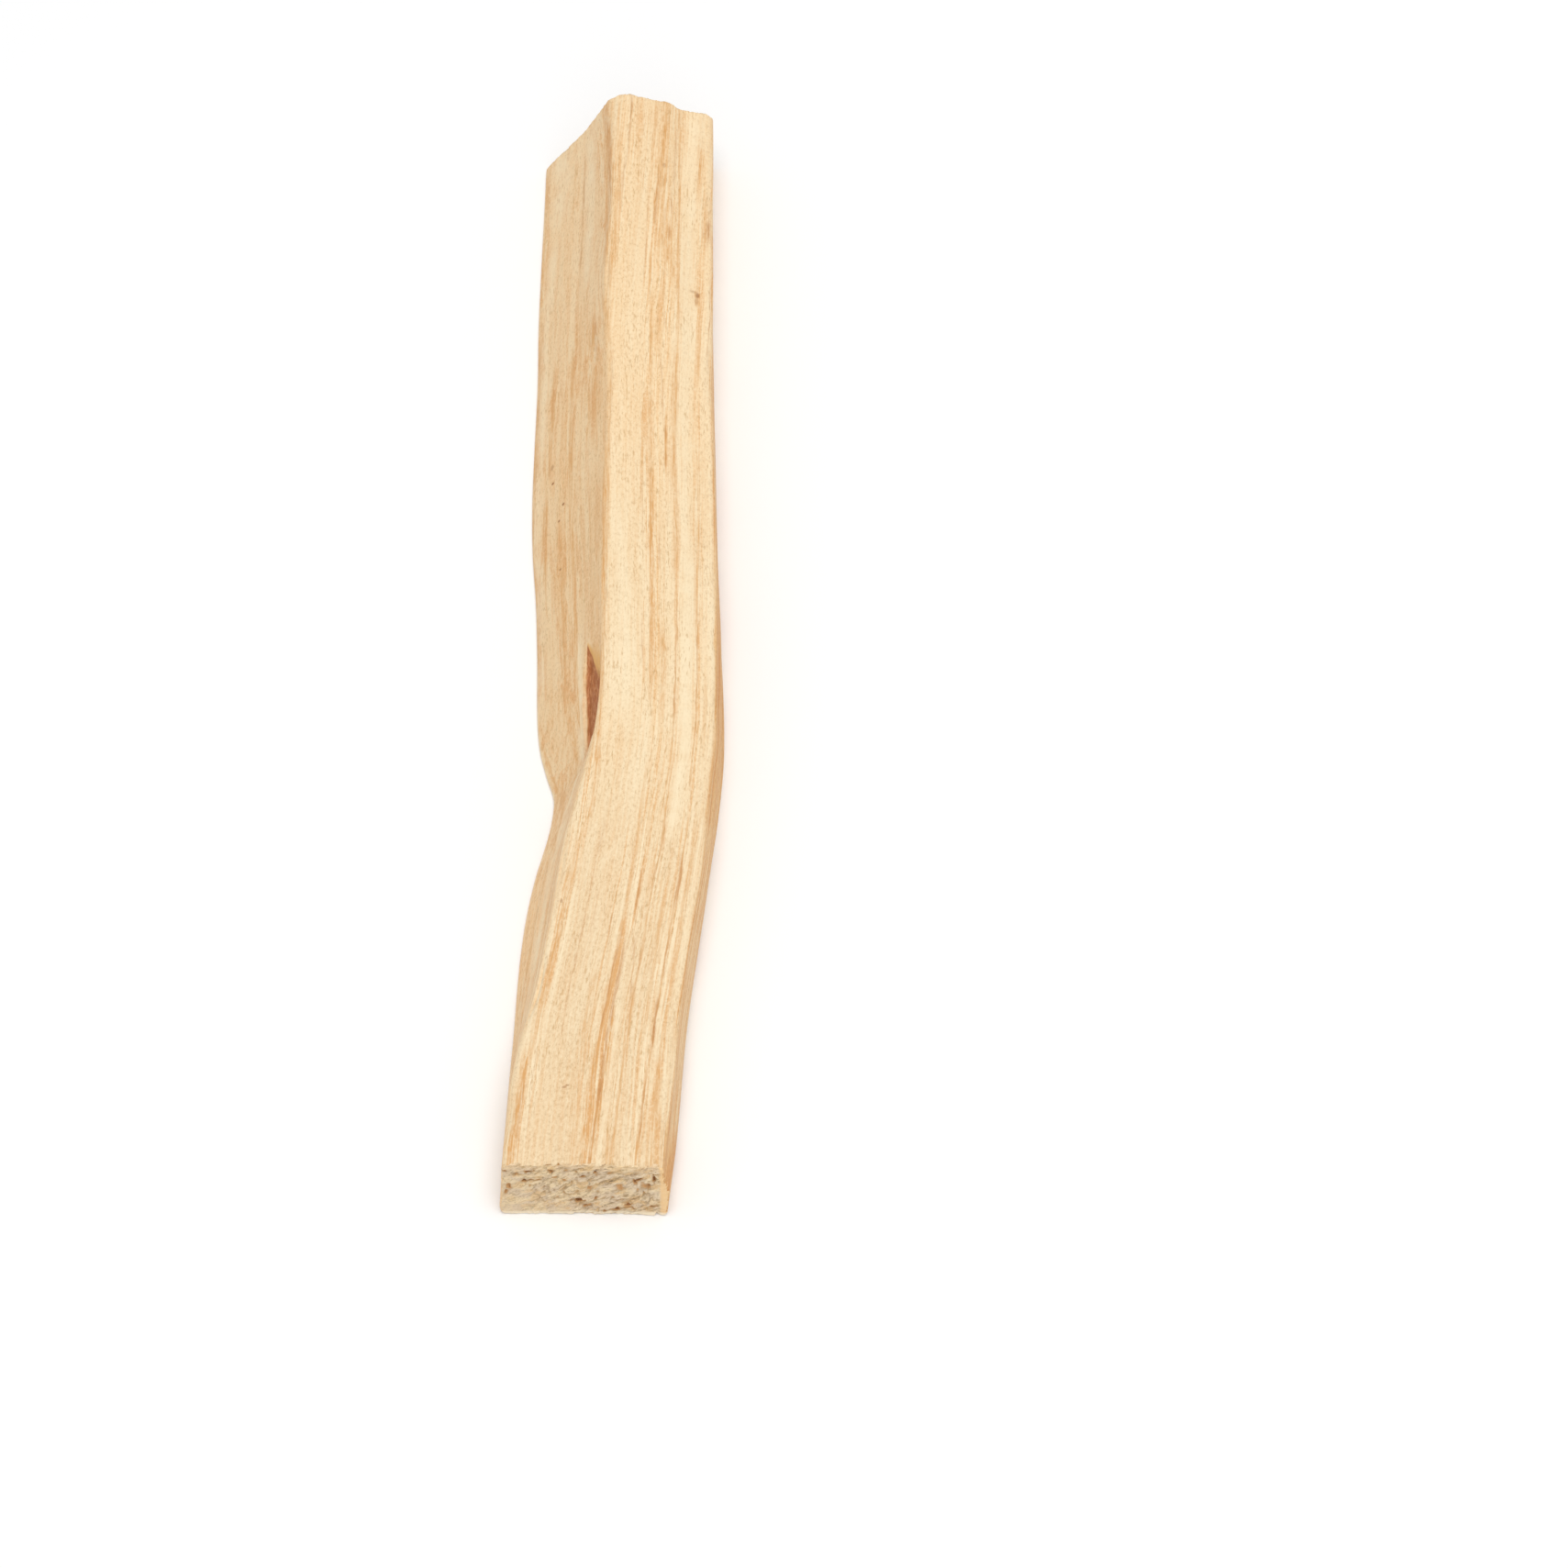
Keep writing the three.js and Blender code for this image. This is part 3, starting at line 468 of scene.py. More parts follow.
def through(points):
    """Smooth curve through (y, value) points, as a function of an array of y."""
    y, value = np.array(points, float).T
    before = np.maximum(np.arange(len(y)) - 1, 0)
    after = np.minimum(np.arange(len(y)) + 1, len(y) - 1)
    slope = (value[after] - value[before]) / (y[after] - y[before])

    def at(where):
        i = np.clip(np.searchsorted(y, where, side="left") - 1, 0, len(y) - 2)
        span = y[i + 1] - y[i]
        t = np.clip((where - y[i]) / span, 0, 1)
        t2, t3 = t * t, t * t * t
        return ((2 * t3 - 3 * t2 + 1) * value[i] + (t3 - 2 * t2 + t) * span * slope[i]
                + (3 * t2 - 2 * t3) * value[i + 1] + (t3 - t2) * span * slope[i + 1])

    return at


def edge_curves(line):
    return through([(y, x) for y, x, _ in line]), through([(y, z) for y, _, z in line])


CURVES = {name: edge_curves(edge["line"]) for name, edge in EDGES.items()}
grain_line = through(GRAIN_LINE)
grain_spread = through(GRAIN_SPREAD)


def edge_at(name, y):
    """x and z of a long edge at the places y."""
    return CURVES[name][0](y), CURVES[name][1](y)


def across_grain(x, y):
    return (x - grain_line(y)) / grain_spread(y)


def smooth(value, low, high):
    t = np.clip((value - low) / (high - low), 0, 1)
    return t * t * (3 - 2 * t)


def hump(t):
    """1 at 0, dying out at 1 and -1."""
    return np.where(np.abs(t) < 1, (1 - t * t) ** 2, 0)


def dice(i, j, k, seed):
    """A number from 0 to 1 for each whole-number place, the same in each run: the place and seed
    are stirred with large odd multipliers and shifts."""
    mask = 0xFFFFFFFF
    h = (i * 374761393 + j * 668265263 + k * 1442695041 + seed * 974634777) & mask
    h = ((h ^ (h >> 13)) * 1274126177) & mask
    h = ((h ^ (h >> 15)) * 374761393) & mask
    return ((h ^ (h >> 16)) & 0xFFFF) / 65535


def noise(x, y, z, seed):
    """Smooth noise from -1 to 1 with features about one unit across."""
    x, y, z = np.broadcast_arrays(x, y, z)
    i, j, k = (np.floor(c).astype(np.int64) for c in (x, y, z))
    # The weights ease in and out, as 6 t^5 - 15 t^4 + 10 t^3.
    u, v, w = ((c - f) ** 3 * ((c - f) * ((c - f) * 6 - 15) + 10)
               for c, f in ((x, i), (y, j), (z, k)))
    total = 0
    for di in (0, 1):
        for dj in (0, 1):
            for dk in (0, 1):
                weight = (u if di else 1 - u) * (v if dj else 1 - v) * (w if dk else 1 - w)
                total = total + weight * dice(i + di, j + dj, k + dk, seed)
    return 2 * total - 1


def layered_noise(x, y, z, octaves, seed):
    """Noise with finer and weaker octaves added."""
    total, size = 0, 1.0
    for octave in range(octaves):
        total = total + 0.5 ** (octave + 1) * noise(x * size, y * size, z * size, seed + octave)
        size *= OCTAVE_STEP
    return total


def shards(run, over, seed):
    """Overlapping long flakes: each point's flake height from 0 to 1, its slant, 0 on its rim."""
    i, j = np.floor(run).astype(np.int64), np.floor(over).astype(np.int64)
    best, second = np.full((2, *run.shape), FAR_AWAY)
    height, slant = np.zeros((2, *run.shape))
    for di in (-1, 0, 1):
        for dj in (-1, 0, 1):
            a, b = i + di, j + dj
            away_run = run - (a + dice(a, b, 0, seed))
            away_over = over - (b + dice(a, b, 1, seed))
            away = away_run**2 + away_over**2
            nearer = away < best
            second = np.where(nearer, best, np.minimum(second, away))
            best = np.where(nearer, away, best)
            height = np.where(nearer, dice(a, b, 2, seed), height)
            lean = away_over * (0.5 + dice(a, b, 3, seed)) + FLAKE["lean"] * away_run
            slant = np.where(nearer, lean, slant)
    return height, slant, np.sqrt(second) - np.sqrt(best)


def section(y):
    """Outlines at the places y, as x and z arrays of a row each: round edges, panels between."""
    names = list(EDGES)
    corner = np.stack([np.stack(edge_at(name, y), -1) for name in names], 1)
    before = np.roll(corner, 1, 1) - corner
    after = np.roll(corner, -1, 1) - corner
    before_size = np.linalg.norm(before, axis=-1)
    after_size = np.linalg.norm(after, axis=-1)
    worn = np.array([edge["round"] for edge in EDGES.values()])
    reach = np.minimum(worn, ROUND_SHARE * np.minimum(before_size, after_size))
    start = corner + before * (reach / before_size)[..., None]
    end = corner + after * (reach / after_size)[..., None]
    points = []
    for n, name in enumerate(names):
        edge = EDGES[name]
        for k in range(edge["bend"] + 1):
            t = k / edge["bend"]
            points.append((1 - t) ** 2 * start[:, n] + 2 * t * (1 - t) * corner[:, n]
                          + t * t * end[:, n])
        following = start[:, (n + 1) % len(names)]
        for k in range(1, edge["steps"]):
            t = k / edge["steps"]
            points.append(end[:, n] * (1 - t) + following * t)
    points = np.stack(points, 1)
    return points[..., 0], points[..., 1]


def outward(x, z):
    """Outward direction in the section, for each point of closed outlines."""
    dx = np.roll(x, -1, -1) - np.roll(x, 1, -1)
    dz = np.roll(z, -1, -1) - np.roll(z, 1, -1)
    size = np.hypot(dx, dz)
    return -dz / size, dx / size


def grain(x, y, z):
    """Place in the wood: across its layers, along it, and along the layers in the section."""
    across = across_grain(x, y)
    (rx, rz), (cx, cz) = edge_at("ridge", y), edge_at("top crease", y)
    sx, sz = edge_at("right shoulder", y)
    top = np.where(x < cx, rz + (cz - rz) / (cx - rx) * (x - rx),
                   cz + (sz - cz) / (sx - cx) * (x - cx))
    return across + LAYER_LEAN * (top - z), y, z + LAYER_LEAN * across


def scaled(wood, spec):
    """Place in the wood in the waves of a noise: fine across the layers and down, long along."""
    across, along, depth = wood
    return across * spec["across"], along * spec["along"], depth * spec["across"]


def pocket_inside(x, y, z):
    """1 on the floor of the bark pocket and 0 outside it, and for its colour how far inside its
    edge each point is in mm, how far down the slope at its far end, and how far below its top."""
    (flute_x, flute_z), (ridge_x, ridge_z) = edge_at("left flute", y), edge_at("ridge", y)
    up = (z - flute_z) / (ridge_z - flute_z)
    wall, edge, end = POCKET_WALL, POCKET_EDGE, POCKET_END
    ragged = edge["depth"] * noise(y * edge["along"], up * edge["up"], 0, SEED["pocket edge"])
    tip = POCKET["tip"]
    high = tip + (POCKET["high"] - tip) * smooth(y - POCKET["near"], 0, POCKET["tip_run"])
    end_noise = noise(up * end["up"], y * end["along"], 0, SEED["pocket end"])
    past_near = y - np.interp(up, *zip(*POCKET_NEAR)) + end["depth"] * end_noise
    low = through(POCKET_LOW)(y)
    above = smooth(up + ragged, low - wall["low"], low + wall["low"])
    below = 1 - smooth(up, high - wall["high"], high + wall["high"])
    slope_length = wall["far"] + wall["slope"] * np.maximum(0, up - wall["slope_from"])
    slope = (POCKET["far"] - y) / slope_length
    inside = (x < ridge_x) * above * below * smooth(past_near, 0, wall["blunt"])
    face = np.hypot(ridge_x - flute_x, ridge_z - flute_z)
    margin = np.minimum(np.minimum(up + ragged - low, high - up) * face, past_near)
    margin = np.clip(np.where(x < ridge_x, margin, -POCKET_MARGIN), -POCKET_MARGIN, POCKET_MARGIN)
    tone = (POCKET["far"] - y) / np.interp(up + ragged, *zip(*POCKET_DARK))
    return inside * smooth(slope, 0, 1), np.stack(
        [margin, np.clip(tone, *POCKET_TONE), np.clip((high - up) * face, 0, 1)], -1)


def main_relief(x, y, z):
    """Flutes, ledge and chips, as on the solid."""
    layer = across_grain(x, y) * math.cos(LAYER_TILT) + z * math.sin(LAYER_TILT)
    out = 0
    for depth, width, drift, start in FLUTES:
        out = out + depth * np.sin(2 * np.pi * (layer / width + y * drift) + start)
    from_ridge, from_crease = x - edge_at("ridge", y)[0], x - edge_at("top crease", y)[0]
    on_top = smooth(from_ridge, *LEDGE["off_ridge"])
    on_top = on_top * (1 - smooth(from_crease, LEDGE["width"], LEDGE["reach"]))
    rise = 0.5 - smooth(from_crease, -LEDGE["width"], LEDGE["width"])
    out = out + LEDGE["height"] * rise * on_top * smooth(y, LEDGE["start"], HALF_LENGTH)
    for name, place, length, depth in CHIPS:
        edge_x, edge_z = edge_at(name, y)
        away = np.hypot(x - edge_x, z - edge_z) / CHIP_REACH
        out = out - depth * hump(away) * hump((y - place) / length)
    return out


def fine_relief(x, y, z):
    """Fibres, swells, the ripple at the bend, and small nicks along the edges."""
    wood = grain(x, y, z)
    out = FIBRE["depth"] * layered_noise(*scaled(wood, FIBRE), FIBRE["octaves"], SEED["fibre"])
    out = out + HAIR["depth"] * noise(*scaled(wood, HAIR), SEED["hair"])
    out = out + SWELL["depth"] * noise(*scaled(wood, SWELL), SEED["swell"])
    lean = RIPPLE_LEAN["share"] * noise(*scaled(wood, RIPPLE_LEAN), SEED["lean"])
    wave = np.sin(2 * np.pi * (wood[1] / RIPPLE["wave"] + lean))
    out = out + RIPPLE["depth"] * wave * hump((y - RIPPLE["y"]) / RIPPLE["half_length"])
    rng = np.random.default_rng(NICKS["seed"])
    for _ in range(NICKS["count"]):
        name = NICK_EDGES[rng.integers(len(NICK_EDGES))]
        place = rng.uniform(-HALF_LENGTH, HALF_LENGTH)
        length = rng.uniform(*NICKS["length"])
        deep = rng.uniform(*NICKS["depth"])
        rows = np.abs(y[:, 0] - place) < length
        edge_x, edge_z = edge_at(name, y[rows])
        away = np.hypot(x[rows] - edge_x, z[rows] - edge_z) / NICKS["reach"]
        out[rows] -= deep * hump(away) * hump((y[rows] - place) / length)
    return out


def pits(x, z, places, turn):
    """The depth of elliptic pits, each as x, z, half length, half width and darkness."""
    total = np.zeros(np.shape(x))
    for px, pz, length, width, dark in places:
        run = ((x - px) * math.cos(turn) + (z - pz) * math.sin(turn)) / length
        over = ((z - pz) * math.cos(turn) - (x - px) * math.sin(turn)) / width
        total = np.maximum(total, dark * smooth(np.hypot(run, over), *PIT["side"]))
    return total


def small_pits(seed):
    rng = np.random.default_rng(seed)
    return [[rng.uniform(*limits) for limits in SMALL_PIT.values()] for _ in range(SMALL_PITS)]


def torn_fibres(run, over, seed):
    """Depth of flakes with crevices between them and of the finer strands, and painted shade in the
    crevices and creases.
    """
    height, slant, rim = shards(run / FLAKE["length"], over / FLAKE["width"], seed)
    crevice = smooth(rim, *FLAKE["rim"]) * smooth(height, *FLAKE["low"])
    run, over = run / STRAND["length"], over / STRAND["width"]
    strand = noise(run, over, 0, seed + TORN_SEED["strand"])
    finer = STRAND["finer"]
    finer = noise(finer * run, finer * over, 0, seed + TORN_SEED["finer"])
    crease = smooth(np.abs(strand + STRAND["share"] * finer), *STRAND["crease"])
    depth = (FLAKE["depth"] * (1 - height) + FLAKE["tilt"] * (slant + 0.5)
             + FLAKE["crevice"] * crevice
             + STRAND["depth"] * (0.5 * crease + 0.25 * (strand + 1)))
    return depth, FLAKE["dark"] * crevice + STRAND["dark"] * crease


def torn(x, z, end):
    """Depth of a sawn end below its plane, and how dark each point is: painted shade in crevices,
    and pits.
    """
    seed, at_near_end = end["seed"], end is NEAR_END
    run = x * math.cos(TEAR_RISE) + z * math.sin(TEAR_RISE)
    over = -x * math.sin(TEAR_RISE) + z * math.cos(TEAR_RISE)
    over = over + sum(
        size * noise(run_waves * run, over_waves * over, 0, seed + TORN_SEED["curl"] + n)
        for n, (size, run_waves, over_waves) in enumerate(CURLS))
    fibre_depth, fibre_shade = torn_fibres(run, over, seed)
    grit = layered_noise(run / GRIT["length"], over / GRIT["width"], 0, GRIT["octaves"],
                         seed + TORN_SEED["grit"])
    shifts = (noise(PIT["waves"] * x, PIT["waves"] * z, 0, seed + TORN_SEED["ragged"] + n)
              for n in (0, 1))
    at = [place + PIT["ragged"] * shift for place, shift in zip((x, z), shifts)]
    pit = np.maximum(pits(*at, NEAR_PITS if at_near_end else [], PIT["turn"]),
                     pits(*at, small_pits(seed), TEAR_RISE))
    torn_up = smooth(x + CALM["per_z"] * z, *CALM["across"])
    torn_up = CALM["least"] + (1 - CALM["least"]) * torn_up
    if at_near_end:
        torn_up = torn_up * (1 - CLEAN_CORNER["smooth"] * smooth(x, *CLEAN_CORNER["across"]))
    depth = torn_up * fibre_depth + GRIT["depth"] * (grit + 0.5) + PIT["depth"] * pit
    return depth - TORN_MIDDLE, np.clip(torn_up * fibre_shade + pit, 0, 1)


def end_plane(end, x, z):
    return end["y"] + end["per_x"] * x + end["per_z"] * z


def between_ends(fraction, x, z):
    """The place along the stick at a fraction of the way from the near end to the far one."""
    near, far = end_plane(NEAR_END, x, z), end_plane(FAR_END, x, z)
    return near + (far - near) * fraction


def station_fractions():
    """Places along the stick from 0 to 1, closer together near the sawn ends."""
    fine = np.linspace(0, 1, END_CROWD["samples"])
    from_end = np.minimum(fine, 1 - fine) * 2 * HALF_LENGTH
    density = 1 + END_CROWD["gain"] * np.exp(-((from_end / END_CROWD["reach"]) ** 2))
    total = np.concatenate([[0], np.cumsum((density[1:] + density[:-1]) / 2)])
    return np.interp(np.linspace(0, total[-1], STATIONS + 1), total, fine)


def course_of(streak, y):
    """Place across the grain of a streak's middle, and how much of it there is, at each y."""
    course = sorted(streak[2])
    low, high = course[0][0], course[-1][0]
    taper = min(TAPER["most"], TAPER["share"] * (high - low))
    present = smooth(y - low, -taper, taper) * smooth(high - y, -taper, taper)
    return through(course)(y), present


def wander(spec, y, n, seed):
    """How far the middle of a set's streak n wanders, and how its strength varies, along y."""
    shift = sum(size * noise(waves * y, n, 0, seed + k)
                for k, (size, waves) in enumerate(spec["wander"]))
    uneven = noise(spec["uneven"] * y, n, 0, seed + len(spec["wander"]))
    return shift, STRENGTH["least"] + STRENGTH["gain"] * uneven


def patches(places, across, y, seed):
    """Wide soft streaks of colour along the grain, each a little uneven."""
    total = np.zeros(np.shape(y))
    for n, streak in enumerate(places):
        width, strength, _ = streak
        middle, present = course_of(streak, y)
        shift, uneven = wander(PATCH, y, n, seed)
        away = np.abs((across - middle) / width + shift)
        patch = strength * np.exp(-away ** PATCH["falloff"]) * present * uneven
        total = np.maximum(total, patch)
    return total


def room_between(first, second):
    """How much plain wood two streaks leave between them, where both are there."""
    low = max(min(first[2]), min(second[2]))[0] - LANE["past"]
    high = min(max(first[2]), max(second[2]))[0] + LANE["past"]
    if low > high:
        return LANE["room"]
    y = np.linspace(low, high, LANE["places"])
    gap = np.abs(course_of(first, y)[0] - course_of(second, y)[0])
    return gap.min() - first[0] - second[0]


def share_out(places):
    """The streaks in lanes, so that those in one lane stand clear of each other."""
    lanes = []
    for streak in places:
        for lane in lanes:
            if all(room_between(streak, other) >= LANE["room"] for other in lane):
                lane.append(streak)
                break
        else:
            lanes.append([streak])
    return lanes


def lane_field(lane, across, y, seed):
    """Of a lane's nearest streak at each point: distance from its middle, strength, half width."""
    best = np.full(np.shape(across), FAR_AWAY)
    field = np.stack([best, 0 * best, LANE["plain"] + 0 * best], -1)
    for n, streak in enumerate(lane):
        width, strength, _ = streak
        middle, present = course_of(streak, y)
        shift, uneven = wander(STREAK, y, n, seed)
        off = across - middle + shift
        outside = np.abs(off) - width
        nearer = (outside < best) & (present > STRENGTH["present"])
        best = np.where(nearer, outside, best)
        strong = strength * present * uneven * (1 - smooth(outside, *STREAK["reach"]))
        here = np.stack([off, strong, width + 0 * off], -1)
        field = np.where(nearer[..., None], here, field)
    return field


def in_mm(places):
    """Streaks of the left faces, measured across in millimetres."""
    return [(LEFT_MM * half, LEFT_SHARE * strength, [(y, LEFT_MM * up) for y, up in course])
            for half, strength, course in places]


def streak_lanes(top_places, left_places, top, left, across, up, y, seed):
    """All lanes of one colour, with the top's and the left faces' streaks in the same fields."""
    lanes = zip_longest(share_out(top_places), share_out(in_mm(left_places)), fillvalue=[])
    fields = []
    for n, (top_lane, left_lane) in enumerate(lanes):
        lane_seed = seed + LANE["seeds"] * n
        on_top = lane_field(top_lane, across, y, lane_seed)
        on_left = lane_field(left_lane, LEFT_MM * up, y, lane_seed + LANE["seeds"] // 2)
        field = np.where(left[None, :, None], on_left, on_top)
        field[..., 1] *= top | left
        fields.append(field)
    return fields


def marks(x, y, z):
    """Streaks in lanes, pale and tan patches with some painted highlights and shade, and the side
    faces' painted shade and light.
    """
    foot, ridge, shoulder, heel, count = corners()
    column = np.arange(count)
    top = (column >= ridge) & (column <= shoulder)
    left = (column >= foot) & (column < ridge)
    right = (column > shoulder) & (column <= heel)
    flute_z, ridge_z = edge_at("left flute", y)[1], edge_at("ridge", y)[1]
    up = np.where(z < flute_z, z / flute_z, 1 + (z - flute_z) / (ridge_z - flute_z))
    across = across_grain(x, y)
    masks = {}
    for name, places, left_places in (("orange", TOP_ORANGE, LEFT_ORANGE),
                                      ("brown", TOP_BROWN, LEFT_BROWN_AND_SHADE)):
        fields = streak_lanes(places, left_places, top, left, across, up, y, SEED[name])
        masks.update((f"{name}{n}", field) for n, field in enumerate(fields))
    # Pale patches, some of them painted highlights.
    masks["pale"] = (top * patches(TOP_PALE_AND_HIGHLIGHTS, across, y, SEED["pale"])
                     + left * patches(LEFT_PALE_AND_HIGHLIGHTS, up, y, SEED["left pale"]))
    # On the right flank the tan zone is partly painted shade.
    masks["zone"] = (top * patches(TOP_TAN, across, y, SEED["tan"])
                     + left * patches(LEFT_TAN, up, y, SEED["left tan"]) + RIGHT_TAN_AND_SHADE * right)
    # Painted shade: the side faces are darkened along the stick, and the same mask makes their
    # threads stronger.
    side = left * through(LEFT_SHADE_AND_THREADS)(y) + right * through(RIGHT_SHADE_AND_THREADS)(y)
    for _ in range(SIDE_SOFT):
        side = (np.roll(side, 1, 1) + side + np.roll(side, -1, 1)) / 3
    masks["side"] = side
    # Partly painted light: the near left faces get the warmer, brighter tone.
    masks["warm"] = left * through(LEFT_WARM_AND_LIGHT)(y)
    return masks


def relief(x, y, z):
    """How far the surface stands out from the plain section, and the pocket's colour mask."""
    pocket, pocket_mask = pocket_inside(x, y, z)
    wood, floor = grain(x, y, z), POCKET_FLOOR
    rough = layered_noise(*scaled(wood, floor), floor["octaves"], SEED["pocket floor"])
    out = (main_relief(x, y, z) + fine_relief(x, y, z)) * (1 - pocket)
    out = out * smooth(z, 0, FLUTE_CLEAR_OF_FLOOR)
    out = out - pocket * (POCKET["depth"] + floor["rough"] * rough)
    sawn = 0.5 + 0.5 * noise(*scaled(wood, UNDERSIDE), SEED["underside"])
    out = out - UNDERSIDE["depth"] * sawn * (1 - smooth(z, 0, UNDERSIDE["reach"]))
    return out, pocket_mask


def skin():
    """The long faces as arrays with a row for each station: x, y, z and the masks."""
    fraction = station_fractions()[:, None]
    from_end = np.minimum(fraction, 1 - fraction) * 2 * HALF_LENGTH
    nominal = -HALF_LENGTH + 2 * HALF_LENGTH * fraction
    x, z = section(nominal[:, 0])
    nx, nz = outward(x, z)
    masks = marks(x, between_ends(fraction, x, z), z)
    out, masks["pocket"] = relief(x, nominal + np.zeros_like(x), z)
    out = out - RIM_WEAR * np.clip(1 - from_end / RIM_WEAR, 0, 1) ** 2
    x, z = x + nx * out, np.maximum(z + nz * out, 0)
    y = between_ends(fraction, x, z)
    masks["hollow"] = np.zeros_like(x)
    # The painted shade of the torn ends' crevices, and their pits, fade onto the long faces near
    # the ends.
    for end, its_half in ((NEAR_END, fraction < 0.5), (FAR_END, fraction > 0.5)):
        depth, dark = torn(x, z, end)
        fade = np.clip(1 - from_end / RIM_FADE, 0, 1) ** 2 * its_half
        y = y + end["inward"] * fade * depth
        masks["hollow"] += fade**3 * dark
    masks["end"] = np.clip(1 - from_end / END_RAMP, 0, 1) + 0 * x
    return x, y, z, masks


def corners():
    """Where the four main edges' middles are in a ring, from the left foot round."""
    places, at = {}, 0
    for name, edge in EDGES.items():
        places[name] = at + edge["bend"] // 2
        at += edge["bend"] + edge["steps"]
    return places["left foot"], places["ridge"], places["right shoulder"], places["right foot"], at


def cap(ring_x, ring_z):
    """A net of points over an end, between its four sides: rows from the foot to the top."""
    foot, ridge, shoulder, heel, count = corners()
    rows, columns = ridge - foot, shoulder - ridge
    ring = np.stack([ring_x, ring_z], -1)
    left = ring[foot + np.arange(rows + 1)]
    right = ring[heel - np.arange(rows + 1)]
    top = ring[ridge + np.arange(columns + 1)]
    bottom = ring[(foot - np.arange(columns + 1)) % count]
    u = np.linspace(0, 1, columns + 1)[None, :, None]
    v = np.linspace(0, 1, rows + 1)[:, None, None]
    net = (1 - v) * bottom[None] + v * top[None] + (1 - u) * left[:, None] + u * right[:, None]
    net = net - ((1 - u) * (1 - v) * ring[foot] + u * (1 - v) * ring[heel]
                 + (1 - u) * v * ring[ridge] + u * v * ring[shoulder])
    return net[..., 0], net[..., 1]


def cap_numbers(first, ring_start):
    """Vertex numbers of an end's net: its rim is the ring's own vertices, its inside is new."""
    foot, ridge, shoulder, heel, count = corners()
    rows, columns = ridge - foot, shoulder - ridge
    numbers = np.zeros((rows + 1, columns + 1), int)
    numbers[1:-1, 1:-1] = first + np.arange((rows - 1) * (columns - 1)).reshape(rows - 1, -1)
    numbers[:, 0] = ring_start + foot + np.arange(rows + 1)
    numbers[:, -1] = ring_start + heel - np.arange(rows + 1)
    numbers[-1, :] = ring_start + ridge + np.arange(columns + 1)
    numbers[0, :] = ring_start + (foot - np.arange(columns + 1)) % count
    return numbers


def quads(numbers):
    """Corner numbers of the cells of a net, row by row."""
    cells = [numbers[:-1, :-1], numbers[:-1, 1:], numbers[1:, 1:], numbers[1:, :-1]]
    return np.stack(cells, -1).reshape(-1, 4)


def net_uv(rows, columns, low, high):
    """UV corners of a net's cells, spread over a rectangle."""
    grid = np.stack(np.meshgrid(np.linspace(low[0], high[0], columns + 1),
                                np.linspace(low[1], high[1], rows + 1)), -1)
    cells = [grid[:-1, :-1], grid[:-1, 1:], grid[1:, 1:], grid[1:, :-1]]
    return np.stack(cells, -2).reshape(-1, 4, 2)


def end_net(end, ring_x, ring_z, ring_start, first):
    """A torn end inside its ring: new points, their masks, and its cells with their UV corners."""
    x, z = cap(ring_x, ring_z)
    depth, hollow = torn(x, z, end)
    y = end_plane(end, x, z) + end["inward"] * depth
    on_end = 1 + np.clip((z[-1] - z) / END_RAMP, 0, 1)
    new = np.stack([x, y, z, hollow, on_end], -1)[1:-1, 1:-1].reshape(-1, 5)
    cells = quads(cap_numbers(first, ring_start))
    uv = net_uv(x.shape[0] - 1, x.shape[1] - 1, *end["uv"])
    if end is FAR_END:
        cells, uv = cells[:, ::-1], uv[:, ::-1]
    return new[:, :3], new[:, 3], new[:, 4], cells, uv


def build_stick():
    """One closed mesh, the long faces and the two torn ends, and the names of its lanes."""
    x, y, z, masks = skin()
    stations, count = x.shape
    ring = np.arange(x.size).reshape(stations, count)
    around = np.concatenate([ring, ring[:, :1]], 1)
    near = end_net(NEAR_END, x[0], z[0], 0, x.size)
    far = end_net(FAR_END, x[-1], z[-1], ring[-1, 0], x.size + len(near[0]))
    long_faces = (np.stack([x, y, z], -1).reshape(-1, 3), masks["hollow"].ravel(),
                  masks["end"].ravel(), quads(around)[:, ::-1],
                  net_uv(stations - 1, count, *SKIN_UV)[:, ::-1])
    places, masks["hollow"], masks["end"], faces, uvs = (
        np.concatenate(parts) for parts in zip(long_faces, near, far))
    mesh = bpy.data.meshes.new("palo_santo_stick_visual")
    mesh.from_pydata((places * MM).tolist(), [], faces.tolist())
    add_attribute(mesh, "grain", np.stack(grain(*places.T), -1))
    for name, values in masks.items():
        add_attribute(mesh, name, values.reshape(-1, 3) if values.ndim == 3 else values.ravel())
    mesh.uv_layers.new(name="OFBake").data.foreach_set("uv", uvs.ravel())
    mesh.shade_smooth()
    mesh.set_sharp_from_angle(angle=SHARP_ANGLE)
    lane_names = [name for name in masks if name.startswith(("orange", "brown"))]
    return new_object("stick", mesh), lane_names


def add_attribute(mesh, name, values):
    """Numbers or vectors at the mesh's points, with zeros for the ends where they have none."""
    kind, field = ("FLOAT_VECTOR", "vector") if values.ndim == 2 else ("FLOAT", "value")
    attribute = mesh.attributes.new(name, kind, "POINT")
    full = np.zeros((len(mesh.vertices), *values.shape[1:]))
    full[:len(values)] = values
    attribute.data.foreach_set(field, full.ravel())


# Finish


